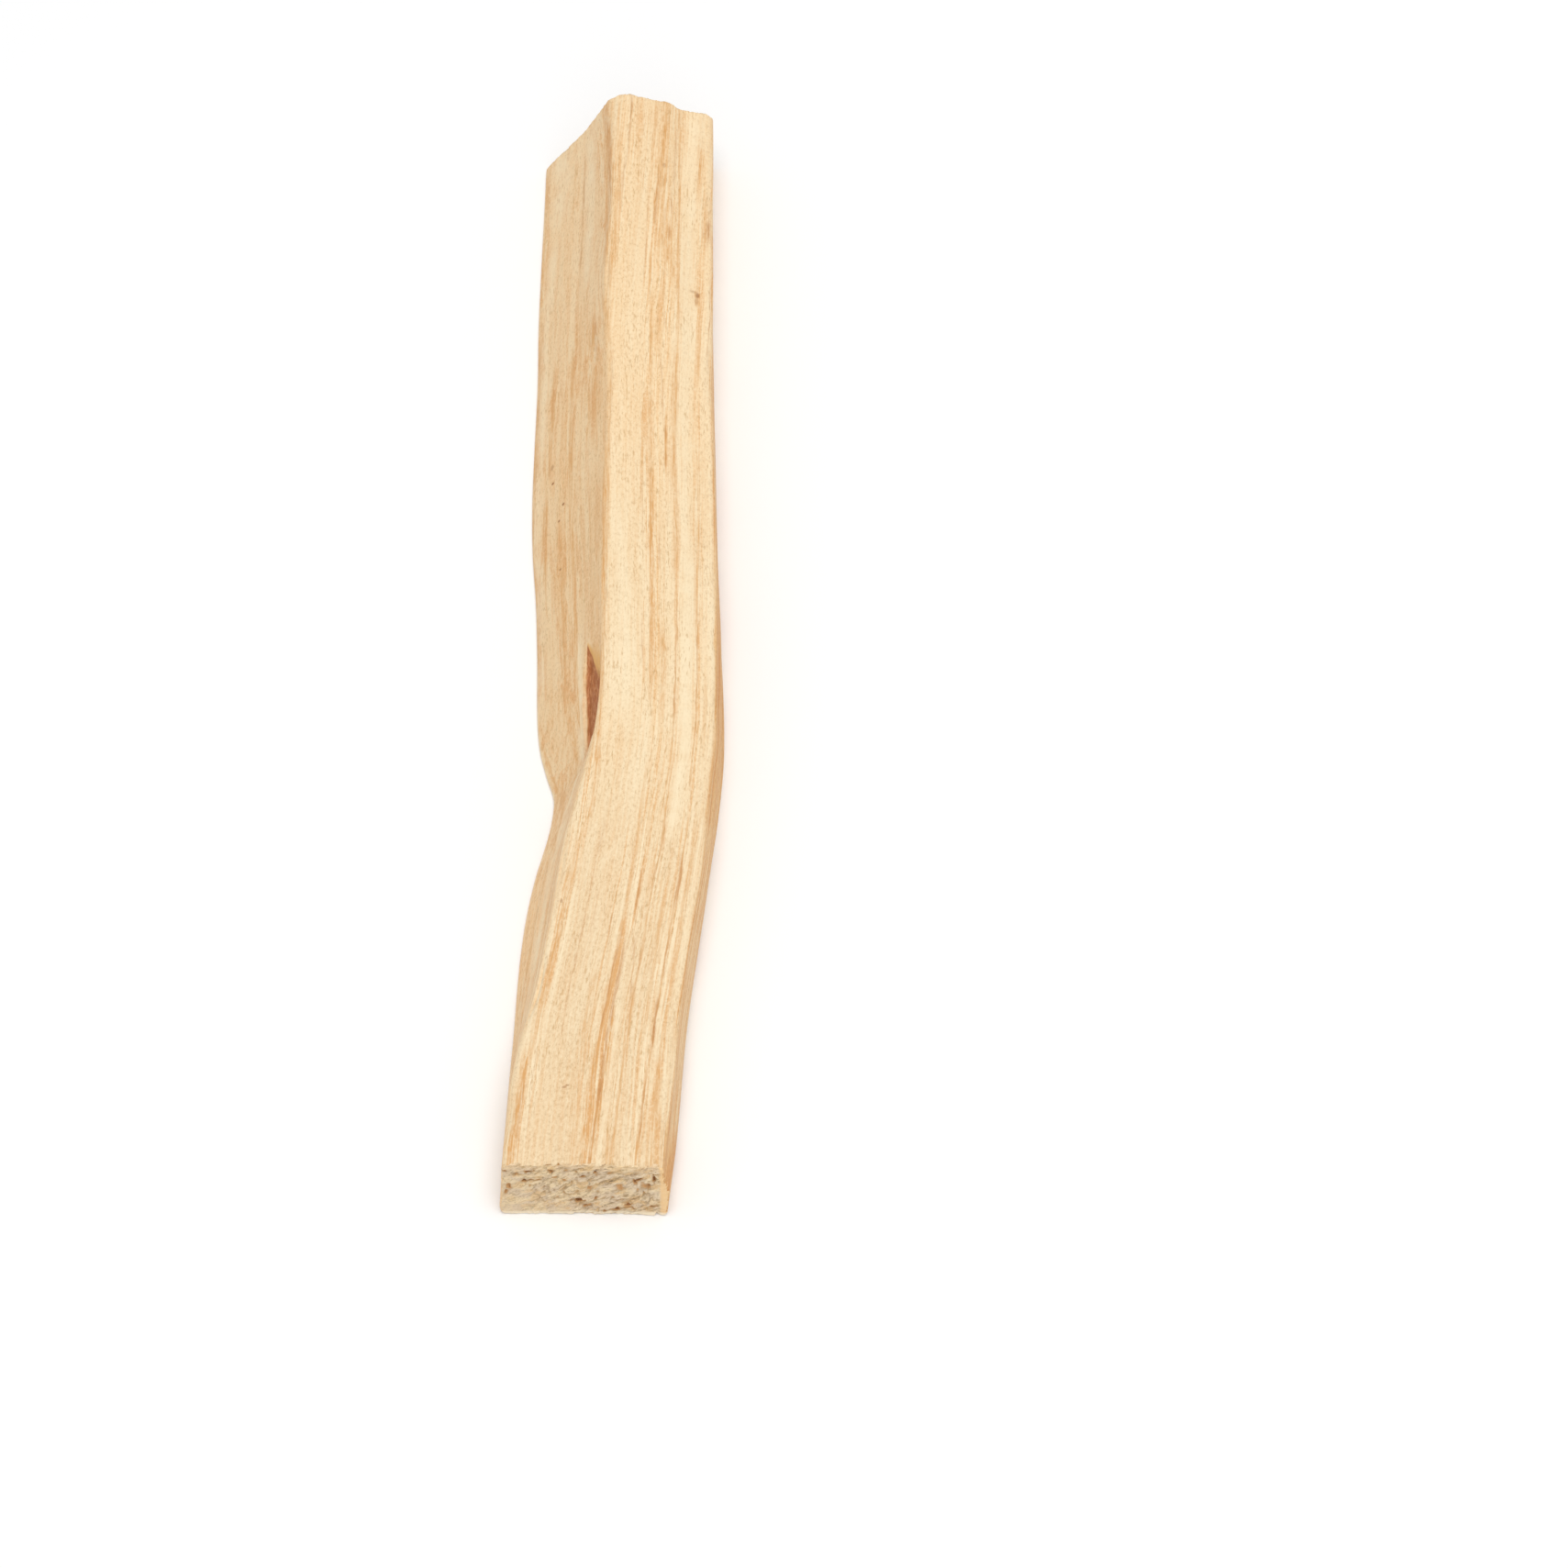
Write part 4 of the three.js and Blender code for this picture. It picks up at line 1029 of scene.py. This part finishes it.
# The noises of the finish: waves in each mm across the layers, along them and down, detail,
# roughness, and a shift so that no two are alike.
NOISES = {
    "wander": (0.25, 0.06, 0.12, 2.0, 0.5, 0.0),
    "quiver": (1.1, 0.3, 0.8, 3.0, 0.5, 0.0),
    "mottle": (0.7, 0.10, 0.7, 3.0, 0.6, 31.0),
    "lines": (3.2, 0.05, 0.7, 3.0, 0.6, 3.0),
    "threads": (7.5, 0.10, 1.5, 2.0, 0.6, 11.0),
    "flecks": (5.4, 3.2, 5.4, 3.0, 0.75, 71.0),
    "fray": (6.0, 0.5, 6.0, 3.0, 0.6, 57.0),
    "streak fibres": (7.0, 0.2, 7.0, 3.0, 0.6, 47.0),
    "streak breaks": (6.0, 1.3, 6.0, 3.0, 0.7, 67.0),
    "pores": (8.5, 1.5, 8.5, 1.0, 0.5, 17.0),
    "pore groups": (0.7, 0.14, 0.7, 2.0, 0.5, 41.0),
    "crumbs": (5.0, 1.2, 5.0, 3.0, 0.6, 23.0),
    "sheen": (6.0, 0.3, 6.0, 3.0, 0.6, 5.0),
    "bump fibres": (7.0, 0.25, 7.0, 3.0, 0.6, 51.0),
    "bump grit": (7.0, 7.0, 7.0, 3.0, 0.6, 61.0),
    "end edge": (1.6, 1.6, 1.6, 3.0, 0.6, 83.0),
    "end patches": (0.7, 0.4, 1.0, 2.0, 0.55, 13.0),
    "end warmth": (0.9, 0.8, 1.5, 2.0, 0.55, 37.0),
    "end fibres": (1.2, 0.7, 5.0, 4.0, 0.7, 19.0),
    "sand": (5.0, 2.5, 8.0, 3.0, 0.7, 29.0),
    "floor": (0.003, 0.003, 0.003, 2.0, 0.5, 0.0),
}
# Bands in which a value of the finish passes from one strength to another: the value's limits, and
# the strengths there, 0 and 1 where none are given. Places and heights are in mm.
BANDS = {
    "near": (-8.0, -28.0),
    "far": (0.0, 22.0),
    "not side": (0.0, 0.3, 1.0, 0.0),
    "mottle": (0.32, 0.68, 0.1, 0.75),
    "lines": (0.48, 0.62, 0.0, 0.45),
    "threads": (0.50, 0.60, 0.0, 0.50),
    "pale threads": (0.38, 0.48, 0.60, 0.0),
    "flecks": (0.50, 0.70),
    "pale flecks": (0.32, 0.50, 0.50, 0.0),
    "streak fibres": (0.38, 0.60, 0.25, 1.5),
    "streak breaks": (0.36, 0.60, 0.55, 1.35),
    "streak side": (0.2, 1.5, 1.0, 0.0),
    "pores": (0.57, 0.72),
    "pore groups": (0.40, 0.62, 0.08, 1.0),
    "spot": (0.5, 1.5, 0.85, 0.0),
    "sheen": (0.3, 0.7, 0.58, 0.76),
    "end edge": (2.08, 2.22),
    "end patches": (0.40, 0.60),
    "end warmth": (0.50, 0.62, 0.0, 0.75),
    "end fibres": (0.50, 0.62, 0.0, 0.75),
    "pale end fibres": (0.36, 0.47, 0.65, 0.0),
    "sand": (0.52, 0.66, 0.0, 0.45),
    "end left": (*CALM["across"], CALM["least"], 1.0),
    "end top": (5.2, 6.3, 0.0, 0.3),
    "end foot highlight": (0.25, 0.55, 0.9, 0.0),
    "clean corner": (*CLEAN_CORNER["across"], 0.0, CLEAN_CORNER["colour"]),
    "near end": (0.0, -10.0),
    "creases": (0.05, 0.30, 0.0, 0.45),
    "pit edges": (0.22, 0.5, 0.0, 0.85),
    "pits": (0.45, 0.85, 0.0, 0.8),
    "crumbs": (0.42, 0.68),
    "in pocket": (-0.03, 0.05),
    "golden bark": (0.15, 0.75),
    "dark bark": (0.80, 1.20),
    "below pocket top": (0.08, 0.30, 0.1, 1.0),
    "floor": (0.3, 0.7),
}
# How strong the lines and threads are in plain wood, and how much more in some places, and the
# shares of some colours, among them the painted shade of the near half and of the side faces.
THREAD_BASE, THREAD_GAIN = 0.3, {"near": 0.1, "side": 0.25, "zone": 2.0}
SHARE = {"zone": 0.5, "near": 0.55, "far": 0.25, "side": 1 / 3, "pale": 0.8, "pores": 0.6}
# A streak is as uneven as its half width in mm times this, and no more than in full.
WIDE_STREAK = 4.5
# How far the growth layers wander, in mm.
WANDER, QUIVER = 0.9, 0.2
# How ragged the border between the long faces' colour and the ends' is.
END_EDGE = 2.4
# The ends' fibres curl in the colour too, and the clean corner's side frays, in mm.
END_CURL = {"waves": 0.9, "detail": 2.0, "size": 0.8}
CORNER_FRAY = 0.3
# Half a spot's size down into the wood.
SPOT_DOWN = 2.0
BUMP = {"fibres": 0.6, "pores": 0.15, "grit": 1.4, "strength": 0.5, "distance": 0.08}
SPECULAR = 0.35


def srgb(red, green, blue):
    """A colour as seen, 0 to 255, in the values that the shader takes."""
    def linear(value):
        value = value / 255
        return value / 12.92 if value <= 0.04045 else ((value + 0.055) / 1.055) ** 2.4

    return linear(red), linear(green), linear(blue), 1.0


CREAM = srgb(240, 211, 168)
PALE = srgb(247, 228, 192)
# Painted shade for the near half of the top.
NEAR_HALF_SHADE = srgb(229, 200, 159)
FAR_TONE = srgb(250, 208, 154)
TAN = srgb(235, 191, 136)
LINE = srgb(225, 169, 107)
FLECK_SHADE = srgb(234, 229, 222)
ORANGE = srgb(217, 164, 103)
BROWN = srgb(192, 134, 78)
PORE = srgb(200, 160, 106)
# Painted shade, multiplied over the side faces.
SIDE_SHADE_TINT = srgb(233, 199, 149)
SPOT = srgb(146, 84, 24)
END_WOOD = srgb(240, 214, 172)
END_GREY = srgb(228, 204, 172)
END_WARM = srgb(230, 190, 134)
# Painted shade for the ends' crevices, creases and fibre lines, and their dark speckle.
END_SHADE_AND_SPECKLE = srgb(174, 146, 108)
END_PALE = srgb(243, 224, 192)
# A painted highlight along the foot of the end faces.
END_FOOT_HIGHLIGHT = srgb(252, 236, 206)
END_CORNER = srgb(250, 209, 152)
HOLLOW = srgb(120, 70, 30)
HOLLOW_EDGE = srgb(206, 150, 88)
BARK = srgb(168, 101, 55)
BARK_LIGHT = srgb(200, 138, 90)
BARK_EDGE = srgb(224, 174, 106)


class Graph:
    """Adds nodes to a material. Inputs are sockets or plain values, by name or number."""

    def __init__(self, material):
        material.use_nodes = True
        self.tree = material.node_tree
        self.tree.nodes.clear()

    def add(self, kind, inputs=None, **settings):
        node = self.tree.nodes.new(kind)
        for name, value in settings.items():
            setattr(node, name, value)
        for name, value in (inputs or {}).items():
            if isinstance(value, bpy.types.NodeSocket):
                self.tree.links.new(value, node.inputs[name])
            else:
                node.inputs[name].default_value = value
        return node

    def surface(self, inputs):
        """The material's shader with these inputs, joined to its output."""
        shader = self.add("ShaderNodeBsdfPrincipled", inputs)
        self.add("ShaderNodeOutputMaterial", {"Surface": shader.outputs[0]})

    def attribute(self, name, output="Fac"):
        return self.add("ShaderNodeAttribute", attribute_name=name).outputs[output]

    def place_in_mm(self):
        place = self.add("ShaderNodeTexCoord").outputs["Object"]
        return self.vector("MULTIPLY", place, (1 / MM,) * 3)

    def parts(self, vector):
        return self.add("ShaderNodeSeparateXYZ", {0: vector}).outputs

    def join(self, x, y, z):
        return self.add("ShaderNodeCombineXYZ", {0: x, 1: y, 2: z}).outputs[0]

    def vector(self, operation, first, second):
        inputs = {0: first, 1: second}
        return self.add("ShaderNodeVectorMath", inputs, operation=operation).outputs[0]

    def noise(self, vector, name):
        *waves, detail, rough, shift = NOISES[name]
        moved = self.vector("ADD", self.vector("MULTIPLY", vector, waves), (shift,) * 3)
        inputs = {"Vector": moved, "Scale": 1.0, "Detail": detail, "Roughness": rough}
        return self.add("ShaderNodeTexNoise", inputs).outputs[0]

    def math(self, operation, *values):
        return self.add("ShaderNodeMath", dict(enumerate(values)), operation=operation).outputs[0]

    def times(self, value, *others):
        for other in others:
            value = self.math("MULTIPLY", value, other)
        return value

    def total(self, base, *terms):
        """A base plus values, each times its gain."""
        for value, gain in terms:
            base = self.math("MULTIPLY_ADD", value, gain, base)
        return base

    def band(self, value, name):
        inputs = dict(enumerate((value, *BANDS[name])))
        return self.add("ShaderNodeMapRange", inputs, interpolation_type="SMOOTHSTEP").outputs[0]

    def noise_band(self, vector, name):
        return self.band(self.noise(vector, name), name)

    def mix(self, share, first, second, blend="MIX"):
        inputs = {0: share, 6: first, 7: second}
        return self.add("ShaderNodeMix", inputs, data_type="RGBA", blend_type=blend).outputs[2]


def wood_finish(lane_names):
    material = bpy.data.materials.new("palo_santo_wood")
    g = Graph(material)
    place = g.attribute("grain", "Vector")
    end = g.total(g.attribute("end"), (g.noise(place, "end edge"), END_EDGE))
    end = g.band(end, "end edge")
    colour = growth_colour(g, place)
    colour = streak_colour(g, place, colour, lane_names)
    colour, pores = pore_colour(g, place, colour)
    colour = spot_colour(g, colour)
    colour = g.mix(end, colour, end_colour(g))
    colour = hollow_colour(g, colour)
    colour = bark_colour(g, place, colour)
    g.surface({"Base Color": colour, "Roughness": g.noise_band(place, "sheen"),
               "Specular IOR Level": SPECULAR, "Normal": fine_bump(g, place, pores, end)})
    return material


def wandering(g, place):
    """The place in the wood, with growth layers that wander a little along the stick."""
    across, along, depth = g.parts(place)
    across = g.math("SUBTRACT", across, 0.5 * (WANDER + QUIVER))
    across = g.total(across, (g.noise(place, "wander"), WANDER), (g.noise(place, "quiver"), QUIVER))
    return g.join(across, along, depth)


def growth_colour(g, place):
    """Cream wood with tan bands, lines and threads along its layers and small greyish flecks, with
    painted shade on the near half and the side faces and some painted light on the near left faces.
    """
    layered = wandering(g, place)
    lines, threads = g.noise(layered, "lines"), g.noise(layered, "threads")
    flecks = g.noise(place, "flecks")
    zone, side = g.attribute("zone"), g.attribute("side")
    along = g.parts(place)[1]
    near = g.times(g.band(along, "near"), g.band(side, "not side"))
    far = g.total(g.attribute("warm"), (g.band(along, "far"), SHARE["far"]))
    strong = g.total(THREAD_BASE, (near, THREAD_GAIN["near"]), (side, THREAD_GAIN["side"]),
                     (zone, THREAD_GAIN["zone"]))
    colour = g.mix(g.noise_band(place, "mottle"), CREAM, PALE)
    colour = g.mix(g.times(zone, SHARE["zone"]), colour, TAN)
    colour = g.mix(g.times(g.band(lines, "lines"), strong), colour, TAN)
    # Painted shade: the near half of the top is darker.
    colour = g.mix(g.times(near, SHARE["near"]), colour, NEAR_HALF_SHADE)
    # On the near left faces this warmer tone is partly painted light.
    colour = g.mix(far, colour, FAR_TONE)
    colour = g.mix(g.times(g.band(threads, "threads"), strong), colour, LINE)
    colour = g.mix(g.times(g.band(threads, "pale threads"), strong), colour, PALE)
    colour = g.mix(g.band(flecks, "flecks"), colour, FLECK_SHADE, "MULTIPLY")
    colour = g.mix(g.band(flecks, "pale flecks"), colour, PALE)
    # Painted shade over the side faces.
    return g.mix(g.times(side, SHARE["side"]), colour, SIDE_SHADE_TINT, "MULTIPLY")


def streak_colour(g, place, colour, lane_names):
    """Pale patches, some of them painted highlights, and the streaks that the mesh carries, frayed
    into fibres at their sides; one brown streak is painted shade.
    """
    colour = g.mix(g.times(g.attribute("pale"), SHARE["pale"]), colour, PALE)
    fray = g.total(-0.5 * FRAY, (g.noise(place, "fray"), FRAY))
    fibres, breaks = g.noise_band(place, "streak fibres"), g.noise_band(place, "streak breaks")
    uneven = g.math("SUBTRACT", g.times(fibres, breaks), 1.0)
    for name in lane_names:
        off, strength, half = g.parts(g.attribute(name, "Vector"))
        away = g.math("ABSOLUTE", g.math("ADD", off, fray))
        profile = g.band(g.math("DIVIDE", away, half), "streak side")
        wide = g.math("MINIMUM", g.times(half, WIDE_STREAK), 1.0)
        share = g.times(profile, strength, g.total(1.0, (uneven, wide)))
        # The brown lanes carry a painted shade strip under the ridge as well as brown streaks.
        colour = g.mix(share, colour, ORANGE if name.startswith("orange") else BROWN)
    return colour


def pore_colour(g, place, colour):
    """Vessels as fine dark dashes along the grain, in loose groups."""
    pores, groups = g.noise_band(place, "pores"), g.noise_band(place, "pore groups")
    return g.mix(g.times(pores, groups, SHARE["pores"]), colour, PORE), pores


def spot_colour(g, colour):
    """Pin knots and resin dots, darkest in the middle."""
    at = g.place_in_mm()
    for place, half_size, strength in SPOTS:
        away = g.vector("DIVIDE", g.vector("SUBTRACT", at, place), (*half_size, SPOT_DOWN))
        length = g.add("ShaderNodeVectorMath", {0: away}, operation="LENGTH").outputs["Value"]
        colour = g.mix(g.times(g.band(length, "spot"), strength), colour, SPOT)
    return colour


def end_colour(g):
    """The sawn ends are sandy and greyer, in fibres that rise to the right, with warm patches, dark
    fibre lines that are partly painted shade, and a painted highlight along the foot.
    """
    at = g.place_in_mm()
    across, along, height = g.parts(at)
    turned = {"Vector": at, "Angle": TEAR_RISE}
    turned = g.add("ShaderNodeVectorRotate", turned, rotation_type="Y_AXIS").outputs[0]
    curl = {"Vector": turned, "Scale": END_CURL["waves"], "Detail": END_CURL["detail"]}
    curl = g.add("ShaderNodeTexNoise", curl).outputs["Color"]
    turned = g.vector("ADD", g.vector("MULTIPLY", curl, (END_CURL["size"],) * 3), turned)
    fibres = g.noise(turned, "end fibres")
    torn_up = g.band(g.total(across, (height, CALM["per_z"])), "end left")
    colour = g.mix(g.noise_band(turned, "end patches"), END_GREY, END_WOOD)
    for share, tint in ((g.noise_band(turned, "end warmth"), END_WARM),
                        # The dark fibre lines are partly painted shade under the flakes.
                        (g.band(fibres, "end fibres"), END_SHADE_AND_SPECKLE),
                        (g.band(fibres, "pale end fibres"), END_PALE)):
        colour = g.mix(g.times(torn_up, share), colour, tint)
    colour = g.mix(g.noise_band(turned, "sand"), colour, END_SHADE_AND_SPECKLE)
    colour = g.mix(g.band(height, "end top"), colour, END_CORNER)
    frayed = g.total(g.math("SUBTRACT", across, 0.5 * CORNER_FRAY), (fibres, CORNER_FRAY))
    corner = g.times(g.band(frayed, "clean corner"), g.band(along, "near end"))
    colour = g.mix(corner, colour, END_CORNER)
    # Painted highlight: a pale lip along the foot of the end face.
    return g.mix(g.band(height, "end foot highlight"), colour, END_FOOT_HIGHLIGHT)


def hollow_colour(g, colour):
    """Greyish painted shade in the creases of the ends, and brown pits with a warmer edge."""
    hollow = g.attribute("hollow")
    colour = g.mix(g.band(hollow, "creases"), colour, END_SHADE_AND_SPECKLE)
    colour = g.mix(g.band(hollow, "pit edges"), colour, HOLLOW_EDGE)
    return g.mix(g.band(hollow, "pits"), colour, HOLLOW)


def bark_colour(g, place, colour):
    """Bark left in the pocket, golden where its floor slopes up to the wood."""
    margin, slope, below = g.parts(g.attribute("pocket", "Vector"))
    bark = g.mix(g.noise_band(place, "crumbs"), BARK, BARK_LIGHT)
    inside = g.band(margin, "in pocket")
    colour = g.mix(g.times(inside, g.band(slope, "golden bark")), colour, BARK_EDGE)
    dark = g.times(g.band(slope, "dark bark"), g.band(below, "below pocket top"))
    return g.mix(g.times(inside, dark), colour, bark)


def fine_bump(g, place, pores, end):
    """Fibres and pores on the long faces, grit on the sawn ends."""
    height = g.total(0.0, (g.noise(place, "bump fibres"), BUMP["fibres"]), (pores, -BUMP["pores"]),
                     (g.times(g.noise(place, "bump grit"), end), BUMP["grit"]))
    bump = {"Height": height, "Strength": BUMP["strength"], "Distance": BUMP["distance"] * MM}
    return g.add("ShaderNodeBump", bump).outputs[0]


# The room

CAMERA = {"aim": (12.7, -12.0, 0.0), "elevation": math.radians(57), "distance": 405,
          "lens": 120, "sensor": 36, "clip": 10}
FLOOR = {"size": 3.0, "colour": srgb(251, 251, 251), "shade": 0.99, "roughness": 0.9}
LIGHTS = {
    "key_light": {"place": (0.05, -0.08, 0.68), "size": 0.45, "watts": 2.4},
    "fill_light": {"place": (0.10, -0.55, 0.35), "size": 0.5, "watts": 0.35},
}
SKY = {"Color": (1.0, 1.0, 1.0, 1.0), "Strength": 0.58}


def new_object(name, data):
    thing = bpy.data.objects.new(name, data)
    bpy.context.scene.collection.objects.link(thing)
    return thing


def floor_finish():
    material = bpy.data.materials.new("floor_paint")
    g = Graph(material)
    *colour, opaque = FLOOR["colour"]
    shade = (*(FLOOR["shade"] * part for part in colour), opaque)
    patches = g.noise_band(g.place_in_mm(), "floor")
    g.surface({"Base Color": g.mix(patches, FLOOR["colour"], shade),
               "Roughness": FLOOR["roughness"], "Specular IOR Level": 0.0})
    return material


def build_floor():
    mesh = bpy.data.meshes.new("floor")
    half = FLOOR["size"] / 2
    points = [(-half, -half, 0), (half, -half, 0), (half, half, 0), (-half, half, 0)]
    mesh.from_pydata(points, [], [(0, 1, 2, 3)])
    mesh.materials.append(floor_finish())
    new_object("floor", mesh)


def build_light(name, spec):
    light = bpy.data.lights.new(name, "AREA")
    light.shape = "DISK"
    light.size = spec["size"]
    light.energy = spec["watts"]
    lamp = new_object(name, light)
    lamp.location = spec["place"]
    lamp.rotation_euler = (-Vector(spec["place"])).to_track_quat("-Z", "Y").to_euler()


def build_sky():
    world = bpy.data.worlds.new("studio")
    world.use_nodes = True
    for name, value in SKY.items():
        world.node_tree.nodes["Background"].inputs[name].default_value = value
    bpy.context.scene.world = world


def build_camera():
    data = bpy.data.cameras.new("camera")
    data.lens = CAMERA["lens"]
    data.sensor_width = CAMERA["sensor"]
    data.clip_start = CAMERA["clip"] * MM
    camera = new_object("camera", data)
    elevation = CAMERA["elevation"]
    back = Vector((0, -math.cos(elevation), math.sin(elevation)))
    camera.location = (Vector(CAMERA["aim"]) + back * CAMERA["distance"]) * MM
    camera.rotation_euler = (math.pi / 2 - elevation, 0, 0)
    bpy.context.scene.camera = camera


build_camera()
build_floor()
for name, spec in LIGHTS.items():
    build_light(name, spec)
build_sky()
bpy.context.scene.view_settings.view_transform = "Standard"

stick, lane_names = build_stick()
stick.data.materials.append(wood_finish(lane_names))
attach(stick, "root")
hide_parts("palo_santo_stick")
